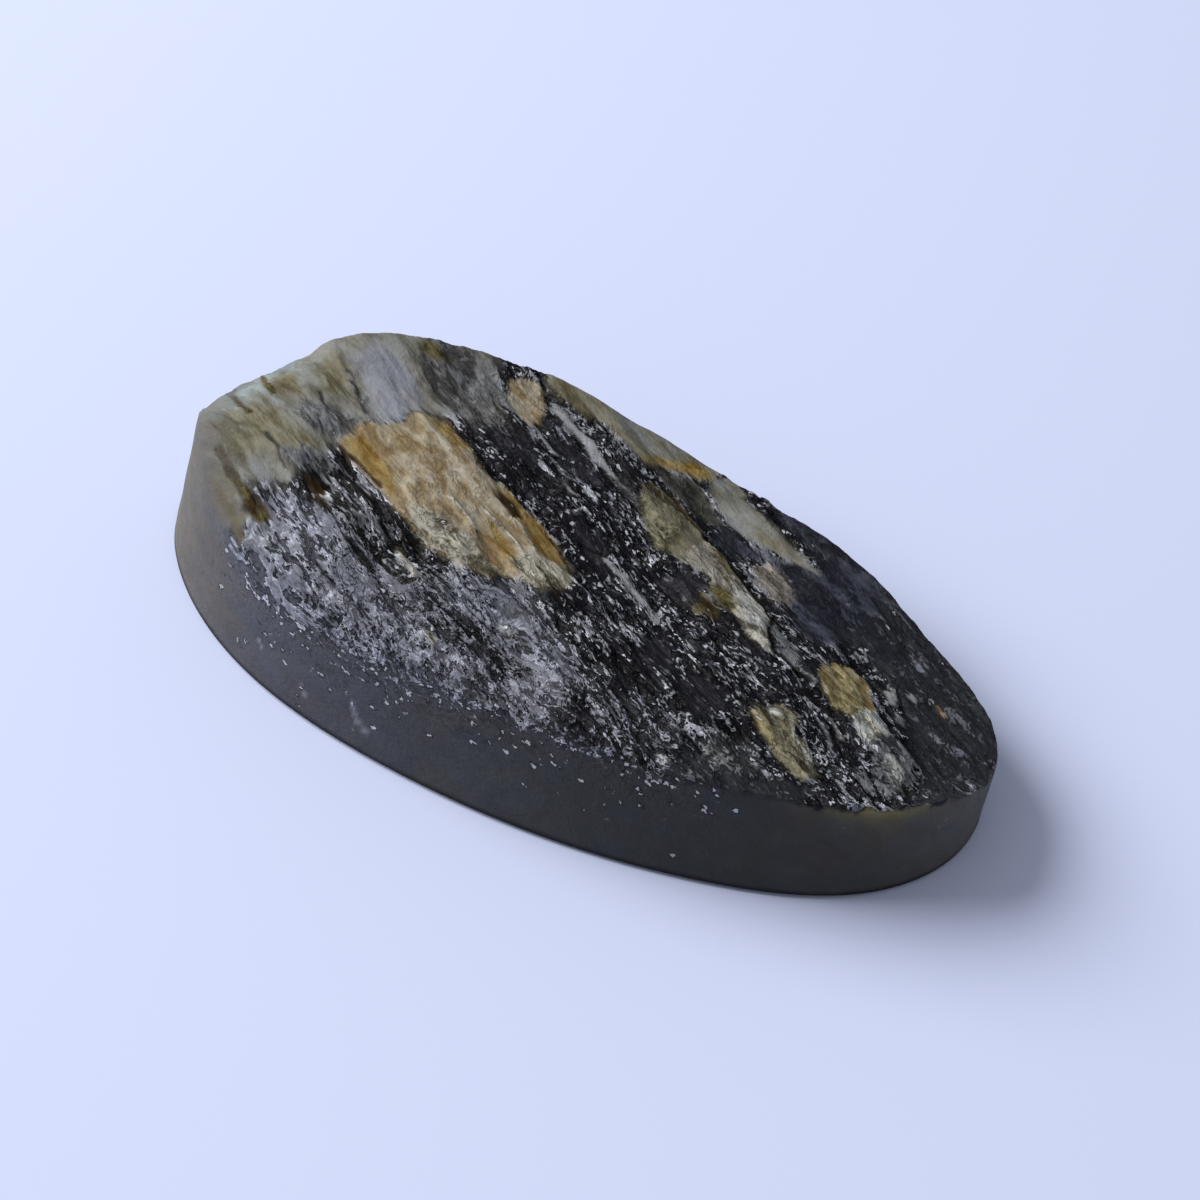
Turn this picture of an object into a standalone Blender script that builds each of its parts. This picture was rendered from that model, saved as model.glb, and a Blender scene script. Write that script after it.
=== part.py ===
"""A rough labradorite slab: one stone with a sawn base, a ground oval wall and a split, grainy top.

Lengths are in metres. The stone lies on its base, with +X towards its thin end, +Y towards its
back and +Z up, and the origin is under the middle of it.
"""

import math

import bmesh
import bpy
import numpy as np
from mathutils import Matrix

MM = 0.001

# The oval that the base is ground to, the small flat along its lower edge, and the oval's centre,
# which puts the middle of the whole stone over the origin.
BASE_LENGTH = 39.0 * MM
BASE_WIDTH = 19.0 * MM
EDGE_FLAT = 0.2 * MM
OVAL_CENTRE = np.array([-0.52, 0.25]) * MM

# The ground wall at equal steps round the oval, from the thin end by way of the back: how far
# its foot stands out from the oval, how far it leans in, and how tall it is.
FOOT_OFFSETS = np.array([0.0, -0.35, -0.45, -0.4, -0.35, -0.8, -0.65, -0.2, 0.25, 0.1, 0.15, 0.45]) * MM
WALL_LEANS = np.radians([-5, 3, 9, 12, 14, 16, 17, 15, 13, 12, 9, 2])
WALL_HEIGHTS = MM * np.array([
    3.8, 3.5, 3.1, 3.4, 4.4, 4.4, 5.8, 7.4, 8.1, 8.3, 6.5, 5.4,
    5.3, 6.0, 6.7, 5.6, 4.4, 4.8, 5.1, 5.4, 5.2, 5.2, 5.1, 4.8,
])  # fmt: skip

# The split top: it falls from the thick end to the thin one, faster along the back than along
# the front, and is rounded down to the wall.
CROWN_HEIGHT = 6.5 * MM
CROWN_FALL = 0.135
CROWN_TWIST = 6.0
SHOULDER_ROUNDNESS = 6.0

# The thick end's back corner is broken off: left of this line the top falls away.
CORNER_LINE = ((-18.0, -6.0), (-12.5, 8.0))
CORNER_FALL = 0.9
CORNER_BEND = 1.6 * MM

# The grain runs slantwise over the top, this far round from the long axis.
GRAIN_ANGLE = math.radians(-23)

# What the break leaves, drawn out along the grain: how long and how wide the lumps of each kind
# are, how high they stand, and the number that sets where they lie.
SWELLS = ((9.0, 4.6), 0.34, 11)
RIDGES = ((6.5, 1.9), 0.36, 23)
LUMPS = ((2.6, 1.1), 0.16, 37)
RIDGE_STEP = 0.5
RISER_STEEPNESS = 2.4

# The noise under them: how steep its slopes may be, and after how many cells it repeats.
NOISE_SLOPE = 1.6
NOISE_TILE = 64

# Steps in the top along the grain: one end, the other end, and the drop to the left of the line.
LEDGES = (
    ((-8.4, 2.5), (1.6, -1.5), 0.30),
    ((0.8, 4.6), (12.0, 0.2), 0.45),
    ((-5.4, 6.9), (0.8, 4.2), -0.30),
    ((12.0, 2.2), (17.0, -2.8), 0.35),
    ((-10.5, -0.6), (-3.4, -3.5), -0.35),
)
LEDGE_WIDTH = 0.45 * MM
LEDGE_FADE = 2.2 * MM

# Hollows in the top: middle, half length along the grain, half width and depth.
PITS = (
    ((2.5, 0.8), 8.0, 1.9, 0.40),
    ((-4.6, -3.6), 1.1, 0.6, 0.50),
    ((-10.6, -4.6), 1.5, 0.7, 0.45),
    ((-9.6, -2.9), 1.6, 0.6, 0.35),
    ((-4.5, -6.0), 1.8, 0.7, 0.35),
    ((1.5, -5.6), 2.0, 0.8, 0.35),
    ((13.6, -1.6), 2.2, 0.9, 0.35),
)

# How the mesh is cut up: quads along the grain and across it on the top, and rings down the wall.
ALONG_QUADS = 36
ACROSS_QUADS = 84
WALL_RINGS = 6

# Where each zone of the surface ends, counted from the middle of the top down to that of the base.
RIM = 1.0
WALL_FOOT = 2.0
BASE_EDGE = 3.0

STONE_COLOUR = (0.062, 0.060, 0.062, 1.0)
STONE_ROUGHNESS = 0.55


def round_the_oval(stations, turn):
    """Read a value between equal steps round the oval, along a smooth cubic through four of them."""
    count = len(stations)
    place = np.mod(turn, math.tau) / math.tau * count
    index = np.floor(place).astype(int)
    part = place - index
    before, here, after, beyond = (stations[(index + step) % count] for step in (-1, 0, 1, 2))
    bend = 2 * before - 5 * here + 4 * after - beyond + (3 * (here - after) + beyond - before) * part
    return here + 0.5 * part * (after - before + bend * part)


def noise(places, seed):
    """Smooth noise from about -1 to 1: every corner of a unit grid has a slope drawn by chance, and
    the four slopes round a place are blended by how near each corner is."""
    slopes = np.random.default_rng(seed).uniform(-NOISE_SLOPE, NOISE_SLOPE, (NOISE_TILE, NOISE_TILE, 2))
    cells = np.floor(places).astype(int)
    part = places - cells
    fade = part * part * (3 - 2 * part)
    total = np.zeros(len(places))
    for corner in np.ndindex(2, 2):
        weight = np.prod(np.where(corner, fade, 1 - fade), axis=1)
        row, column = ((cells + corner) % NOISE_TILE).T
        total += weight * np.sum(slopes[row, column] * (part - corner), axis=1)
    return total


def along_grain(points):
    """Give points in plan as their lengths along the grain and across it, in millimetres."""
    cosine, sine = math.cos(GRAIN_ANGLE), math.sin(GRAIN_ANGLE)
    return points[:, :2] @ np.array([[cosine, -sine], [sine, cosine]]) / MM


def beside_line(points, start, end):
    """How far points lie to the right of a line in plan, and how far past its ends."""
    start, end = np.array(start) * MM, np.array(end) * MM
    length = np.linalg.norm(end - start)
    direction = (end - start) / length
    offset = points[:, :2] - start
    forward = offset @ direction
    right = offset[:, 0] * direction[1] - offset[:, 1] * direction[0]
    beyond = np.maximum(np.maximum(-forward, forward - length), 0)
    return right, beyond


def broken_relief(points):
    """How far the split top stands above or below its smooth form.

    Noise drawn out along the grain makes broad swells, small lumps, and ridges that are cut into
    treads and risers. The named ledges and pits come on top.
    """
    grain = along_grain(points)
    relief = np.zeros(len(points))
    for size, height, seed in (SWELLS, LUMPS):
        relief += height * noise(grain / size, seed)
    size, height, seed = RIDGES
    level, tread = np.divmod(noise(grain / size, seed) / RIDGE_STEP, 1)
    riser = np.clip((tread - 0.5) * RISER_STEEPNESS + 0.5, 0, 1)
    relief += height * RIDGE_STEP * (level + riser)
    for start, end, drop in LEDGES:
        right, beyond = beside_line(points, start, end)
        side = np.clip(right / LEDGE_WIDTH, -1, 1)
        relief += drop / 2 * side * np.exp(-(((np.abs(right) + beyond) / LEDGE_FADE) ** 2))
    for middle, length, width, depth in PITS:
        offset = (grain - along_grain(np.array([middle]) * MM)) / (length, width)
        relief -= depth * np.exp(-np.sum(offset**2, axis=1))
    return relief * MM


def wall_point(turn, height):
    """The ground wall: the base oval moved out by the foot's offset, and in by the lean at a height."""
    half_length, half_width = BASE_LENGTH / 2, BASE_WIDTH / 2
    normal = np.column_stack([np.cos(turn) * half_width, np.sin(turn) * half_length])
    normal /= np.linalg.norm(normal, axis=1, keepdims=True)
    offset = round_the_oval(FOOT_OFFSETS, turn) - np.tan(round_the_oval(WALL_LEANS, turn)) * height
    oval = np.column_stack([np.cos(turn) * half_length, np.sin(turn) * half_width])
    return np.column_stack([OVAL_CENTRE + oval + normal * offset[:, None], height])


def draw_in(points, share):
    """Move points in plan towards the oval's centre, to a share of their way out."""
    points[:, :2] = OVAL_CENTRE + (points[:, :2] - OVAL_CENTRE) * share[:, None]


def crown_height(points):
    """The height of the split top, if it ran on to the wall without rounding."""
    x, y = points[:, 0], points[:, 1]
    past_line = beside_line(points, *CORNER_LINE)[0]
    corner = CORNER_FALL * (past_line - np.hypot(past_line, CORNER_BEND)) / 2
    return CROWN_HEIGHT - CROWN_FALL * x - CROWN_TWIST * x * y + corner


def slab_surface(turn, run):
    """The whole stone as one closed surface of two parameters.

    turn goes round the oval. run goes from the middle of the top out to the rim, down the wall,
    over the edge flat and in under the base. On the top the height is the wall's own, raised
    to the crown by the root of one minus a power of the run, and the relief is added to it. The
    rough rim decides how tall the wall is left.
    """
    smooth_rim = round_the_oval(WALL_HEIGHTS, turn)
    rim = smooth_rim + broken_relief(wall_point(turn, smooth_rim))
    down = np.clip(run - RIM, 0, 1)
    points = wall_point(turn, rim + (EDGE_FLAT - rim) * down)
    out = np.clip(run, 0, RIM)
    draw_in(points, out)
    shoulder = np.sqrt(1 - out**SHOULDER_ROUNDNESS)
    top = smooth_rim + (crown_height(points) - smooth_rim) * shoulder + broken_relief(points)
    points[:, 2] = np.where(run < RIM, top, points[:, 2])
    edge = wall_point(turn, np.zeros(len(turn)))
    draw_in(edge, np.full(len(turn), 1 - 2 * EDGE_FLAT / BASE_WIDTH))
    points += (edge - points) * np.clip(run - WALL_FOOT, 0, 1)[:, None]
    draw_in(points, 1 - np.clip(run - BASE_EDGE, 0, 1))
    return points


def parameter_drum():
    """Make the stone's mesh in its parameters, as a closed drum of radius 1.

    The lid is a grid drawn to a disc and turned so that its lines follow the grain. The depth
    below the lid counts the zones of the wall and the edge flat.
    """
    drum = bmesh.new()
    bmesh.ops.create_grid(drum, x_segments=ALONG_QUADS, y_segments=ACROSS_QUADS, size=1)
    for vertex in drum.verts:
        x, y = vertex.co.x, vertex.co.y
        vertex.co.x, vertex.co.y = x * math.sqrt(1 - y * y / 2), y * math.sqrt(1 - x * x / 2)
    angle = math.atan2(math.sin(GRAIN_ANGLE) / BASE_WIDTH, math.cos(GRAIN_ANGLE) / BASE_LENGTH)
    bmesh.ops.rotate(drum, verts=drum.verts, matrix=Matrix.Rotation(angle, 3, "Z"))
    border = [edge for edge in drum.edges if edge.is_boundary]
    depths = [ring / WALL_RINGS for ring in range(1, WALL_RINGS + 1)] + [BASE_EDGE - RIM]
    for depth in depths:
        grown = bmesh.ops.extrude_edge_only(drum, edges=border)["geom"]
        border = [item for item in grown if isinstance(item, bmesh.types.BMEdge)]
        for vertex in {vertex for edge in border for vertex in edge.verts}:
            vertex.co.z = -depth
    base = bmesh.ops.edgeloop_fill(drum, edges=border)["faces"]
    bmesh.ops.poke(drum, faces=base)
    bmesh.ops.recalc_face_normals(drum, faces=drum.faces)
    return drum


def build_slab():
    """Draw the drum over the stone's surface."""
    shape = parameter_drum()
    drum = np.array([vertex.co for vertex in shape.verts], dtype=float)
    turn = np.arctan2(drum[:, 1], drum[:, 0])
    out = np.minimum(np.hypot(drum[:, 0], drum[:, 1]), RIM)
    depth = -drum[:, 2]
    run = np.where(depth > 0, RIM + depth + (RIM - out), out)
    for vertex, point in zip(shape.verts, slab_surface(turn, run)):
        vertex.co = point
    bmesh.ops.triangulate(shape, faces=shape.faces)
    mesh = bpy.data.meshes.new("slab")
    shape.to_mesh(mesh)
    shape.free()
    return bpy.data.objects.new("slab", mesh)


def stone_material():
    """Dark grey feldspar with the dull shine of a ground surface."""
    material = bpy.data.materials.new("labradorite")
    material.use_nodes = True
    shader = material.node_tree.nodes["Principled BSDF"]
    shader.inputs["Base Color"].default_value = STONE_COLOUR
    shader.inputs["Roughness"].default_value = STONE_ROUGHNESS
    shader.inputs["Metallic"].default_value = 0.0
    return material


def main():
    """Clear the scene and put the stone in a collection of its own."""
    for leftover in list(bpy.data.objects):
        bpy.data.objects.remove(leftover, do_unlink=True)
    collection = bpy.data.collections.new("labradorite_slab")
    bpy.context.scene.collection.children.link(collection)
    slab = build_slab()
    slab.data.materials.append(stone_material())
    collection.objects.link(slab)


main()
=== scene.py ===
"""A rough labradorite slab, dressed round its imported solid, on a pale studio floor.

The stone is one closed surface: a sawn base, a ground oval wall and a split, grainy top. Its form
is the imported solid's own, worked out again on a fine grid and roughened with splinters. Lengths
are in metres, with +X towards the thin end, +Y towards the back and +Z up. Lines and patches in
plan, and sizes of noise, are in millimetres.
"""

import math

import bpy
import numpy as np
from bpy.props import FloatProperty, FloatVectorProperty, IntProperty, PointerProperty
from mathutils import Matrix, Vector


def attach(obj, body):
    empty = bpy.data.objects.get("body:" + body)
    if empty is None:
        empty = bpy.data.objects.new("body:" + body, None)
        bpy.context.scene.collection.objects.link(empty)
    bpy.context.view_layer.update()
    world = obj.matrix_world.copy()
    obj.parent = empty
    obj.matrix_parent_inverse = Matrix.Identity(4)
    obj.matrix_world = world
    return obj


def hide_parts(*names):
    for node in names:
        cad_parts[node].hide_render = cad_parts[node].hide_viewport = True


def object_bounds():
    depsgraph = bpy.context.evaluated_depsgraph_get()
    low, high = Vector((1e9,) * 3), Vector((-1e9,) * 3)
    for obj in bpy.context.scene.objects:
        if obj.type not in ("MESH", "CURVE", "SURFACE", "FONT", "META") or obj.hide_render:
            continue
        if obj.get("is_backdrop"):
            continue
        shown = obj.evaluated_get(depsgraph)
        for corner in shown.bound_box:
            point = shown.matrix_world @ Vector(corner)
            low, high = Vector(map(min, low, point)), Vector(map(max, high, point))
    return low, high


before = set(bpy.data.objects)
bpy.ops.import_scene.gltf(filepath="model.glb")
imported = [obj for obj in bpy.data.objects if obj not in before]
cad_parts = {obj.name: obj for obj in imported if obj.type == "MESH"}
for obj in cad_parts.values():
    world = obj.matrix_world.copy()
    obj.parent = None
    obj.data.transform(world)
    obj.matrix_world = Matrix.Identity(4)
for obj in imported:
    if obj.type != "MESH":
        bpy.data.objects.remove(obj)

bl_info = {
    "name": "Rough labradorite slab",
    "version": (1, 0, 0),
    "blender": (4, 5, 0),
    "location": "3D View > Sidebar > Slab",
    "description": "Builds a rough labradorite slab and the studio it is shown in",
    "category": "Add Mesh",
}

MM = 0.001

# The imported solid's own outline: the oval's centre, and at equal steps round the oval, from the
# thin end by way of the back, how far the wall's foot stands out, how far the wall leans in and
# how tall it is.
OVAL_CENTRE = np.array([-0.52, 0.25]) * MM
FOOT_OFFSETS = np.array([0.0, -0.35, -0.45, -0.4, -0.35, -0.8, -0.65, -0.2, 0.25, 0.1, 0.15, 0.45]) * MM
WALL_LEANS = np.radians([-5, 3, 9, 12, 14, 16, 17, 15, 13, 12, 9, 2])
WALL_HEIGHTS = MM * np.array([
    3.8, 3.5, 3.1, 3.4, 4.4, 4.4, 5.8, 7.4, 8.1, 8.3, 6.5, 5.4,
    5.3, 6.0, 6.7, 5.6, 4.4, 4.8, 5.1, 5.4, 5.2, 5.2, 5.1, 4.8,
])  # fmt: skip

# Its corner line, and its swells, ridges and lumps. A layer of noise has how long and wide it is,
# how high, and the number that sets where it lies.
CORNER_LINE = ((-18.0, -6.0), (-12.5, 8.0))
SWELLS = ((9.0, 4.6), 0.34, 11)
RIDGES = ((6.5, 1.9), 0.36, 23)
LUMPS = ((2.6, 1.1), 0.16, 37)
RIDGE_STEP = 0.5
RISER_STEEPNESS = 2.4
NOISE_SLOPE = 1.6
NOISE_TILE = 64

# Its ledges, with the drop to the left of each line, and its pits, each with its middle, its
# length and width along and across the grain, and its depth.
LEDGES = (
    ((-8.4, 2.5), (1.6, -1.5), 0.30),
    ((0.8, 4.6), (12.0, 0.2), 0.45),
    ((-5.4, 6.9), (0.8, 4.2), -0.30),
    ((12.0, 2.2), (17.0, -2.8), 0.35),
    ((-10.5, -0.6), (-3.4, -3.5), -0.35),
)
LEDGE_WIDTH = 0.45 * MM
LEDGE_FADE = 2.2 * MM
PITS = (
    ((2.5, 0.8), 8.0, 1.9, 0.40),
    ((-4.6, -3.6), 1.1, 0.6, 0.50),
    ((-10.6, -4.6), 1.5, 0.7, 0.45),
    ((-9.6, -2.9), 1.6, 0.6, 0.35),
    ((-4.5, -6.0), 1.8, 0.7, 0.35),
    ((1.5, -5.6), 2.0, 0.8, 0.35),
    ((13.6, -1.6), 2.2, 0.9, 0.35),
)

# The splinters of the break, finer than the solid's lumps: layers of noise, with how steep their
# steps are. Where the stone isn't broken they keep only a share of their height.
SPLINTERS = (
    ((2.2, 0.55), 0.13, 3.0, 51),
    ((1.0, 0.26), 0.11, 4.0, 61),
    ((0.5, 0.14), 0.06, 2.0, 71),
)
SPLINTER_STEP = 0.45
SMOOTH_SPLINTERS = 0.15

# Layers of noise that bend the grain, that move a patch's edge along the grain and across it, and
# that make the ground wall's upper border ragged.
GRAIN_BENDS = (((7.0, 3.0), 0.5, 81), ((2.2, 0.9), 0.14, 83))
FRINGE = (((2.4, 0.30), 0.35, 91), ((0.7, 0.12), 0.12, 93))
RAGGED_EDGE = (((0.8, 0.5), 0.10, 95),)
RAGGED_BORDER = (((0.9, 0.7), 0.30, 105), ((0.3, 0.25), 0.15, 107))

# The wall's small pits: the noise, the level that it has to pass for a pit under the rim, how much
# that level rises with every millimetre down, and a pit's depth. Then the wall's faint waves, and
# how steeply both fade out at the rim and the foot.
WALL_PITS = (((0.45, 0.35), 2.0, 101),)
WALL_PIT_LEVEL = 0.75
WALL_PIT_THINNING = 0.25
WALL_PIT_DEPTH = 0.07
WALL_WAVES = (((2.6, 1.7), 0.03, 103),)
DENT_FADE = 20

# The tones that the stone is made of. For each: the colour down in its gaps, the colour on its
# splinters, about what share of the surface is splinters, how softly the two blend, how broken the
# surface is, and how far it stands up in millimetres. A share under nothing leaves no splinter.
TONES = {
    "charcoal": ((0.007, 0.007, 0.01), (0.36, 0.37, 0.415), 0.17, 0.02, 1.0, 0.0),
    "coal": ((0.016, 0.016, 0.021), (0.2, 0.205, 0.24), 0.0, 0.02, 0.6, -0.05),
    "pepper": ((0.016, 0.016, 0.02), (0.26, 0.265, 0.31), 0.26, 0.03, 1.0, 0.0),
    "grey": ((0.05, 0.052, 0.065), (0.255, 0.262, 0.308), 0.66, 0.03, 0.85, 0.0),
    "silver": ((0.056, 0.058, 0.07), (0.23, 0.237, 0.278), 0.66, 0.04, 0.7, 0.0),
    "slate": ((0.016, 0.017, 0.025), (0.054, 0.059, 0.08), 0.4, 0.1, 0.3, 0.0),
    "dusk": ((0.018, 0.019, 0.024), (0.14, 0.145, 0.175), 0.13, 0.05, 0.4, 0.0),
    "ash": ((0.032, 0.033, 0.038), (0.165, 0.17, 0.18), 0.6, 0.06, 0.55, 0.05),
    "sand": ((0.115, 0.1, 0.084), (0.26, 0.235, 0.215), 0.55, 0.1, 0.4, 0.05),
    "loam": ((0.064, 0.055, 0.029), (0.205, 0.188, 0.124), 0.55, 0.1, 0.5, 0.05),
    "crumb": ((0.165, 0.13, 0.05), (0.36, 0.31, 0.185), 0.54, 0.08, 0.35, 0.1),
    "bone": ((0.15, 0.15, 0.138), (0.45, 0.455, 0.43), 0.66, 0.06, 0.5, 0.1),
    "wall": ((0.038, 0.038, 0.042), (0.55, 0.56, 0.61), -0.6, 0.015, 0.0, 0.0),
    "drab": ((0.15, 0.142, 0.112), (0.23, 0.232, 0.218), 0.52, 0.2, 0.1, 0.0),
    # The blue-grey of a painted sheen, where the top reflects the light.
    "mist": ((0.19, 0.193, 0.218), (0.25, 0.255, 0.28), 0.55, 0.2, 0.06, 0.0),
    "celadon": ((0.186, 0.213, 0.208), (0.26, 0.305, 0.31), 0.55, 0.2, 0.04, 0.0),
    "smoke": ((0.062, 0.062, 0.062), (0.16, 0.16, 0.162), 0.48, 0.1, 0.5, 0.0),
    "khaki": ((0.12, 0.104, 0.058), (0.215, 0.2, 0.15), 0.52, 0.18, 0.15, 0.0),
    "umber": ((0.015, 0.013, 0.013), (0.235, 0.24, 0.265), 0.39, 0.05, 0.95, -0.05),
    "ochre": ((0.26, 0.188, 0.098), (0.385, 0.335, 0.252), 0.54, 0.12, 0.25, 0.04),
    "gold": ((0.19, 0.108, 0.018), (0.29, 0.208, 0.082), 0.5, 0.12, 0.25, 0.04),
    "straw": ((0.15, 0.126, 0.078), (0.39, 0.37, 0.312), 0.6, 0.08, 0.5, 0.06),
    "olive": ((0.048, 0.036, 0.01), (0.13, 0.11, 0.045), 0.5, 0.12, 0.4, -0.05),
    "moss": ((0.03, 0.03, 0.024), (0.068, 0.068, 0.058), 0.5, 0.1, 0.3, -0.03),
    "vein": ((0.125, 0.125, 0.13), (0.27, 0.27, 0.28), 0.78, 0.09, 0.25, 0.06),
    "rust": ((0.022, 0.013, 0.005), (0.06, 0.036, 0.012), 0.44, 0.12, 0.3, -0.05),
    # Near-black, for painted shadow along a step and in a pit, and for other thin dark lines.
    "gap": ((0.003, 0.003, 0.003), (0.012, 0.011, 0.01), 0.3, 0.1, 0.5, -0.1),
    "cream": ((0.29, 0.27, 0.2), (0.58, 0.56, 0.47), 0.6, 0.06, 0.5, 0.08),
    "chalk": ((0.25, 0.26, 0.28), (0.62, 0.63, 0.66), 0.6, 0.06, 0.7, 0.06),
}

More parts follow.
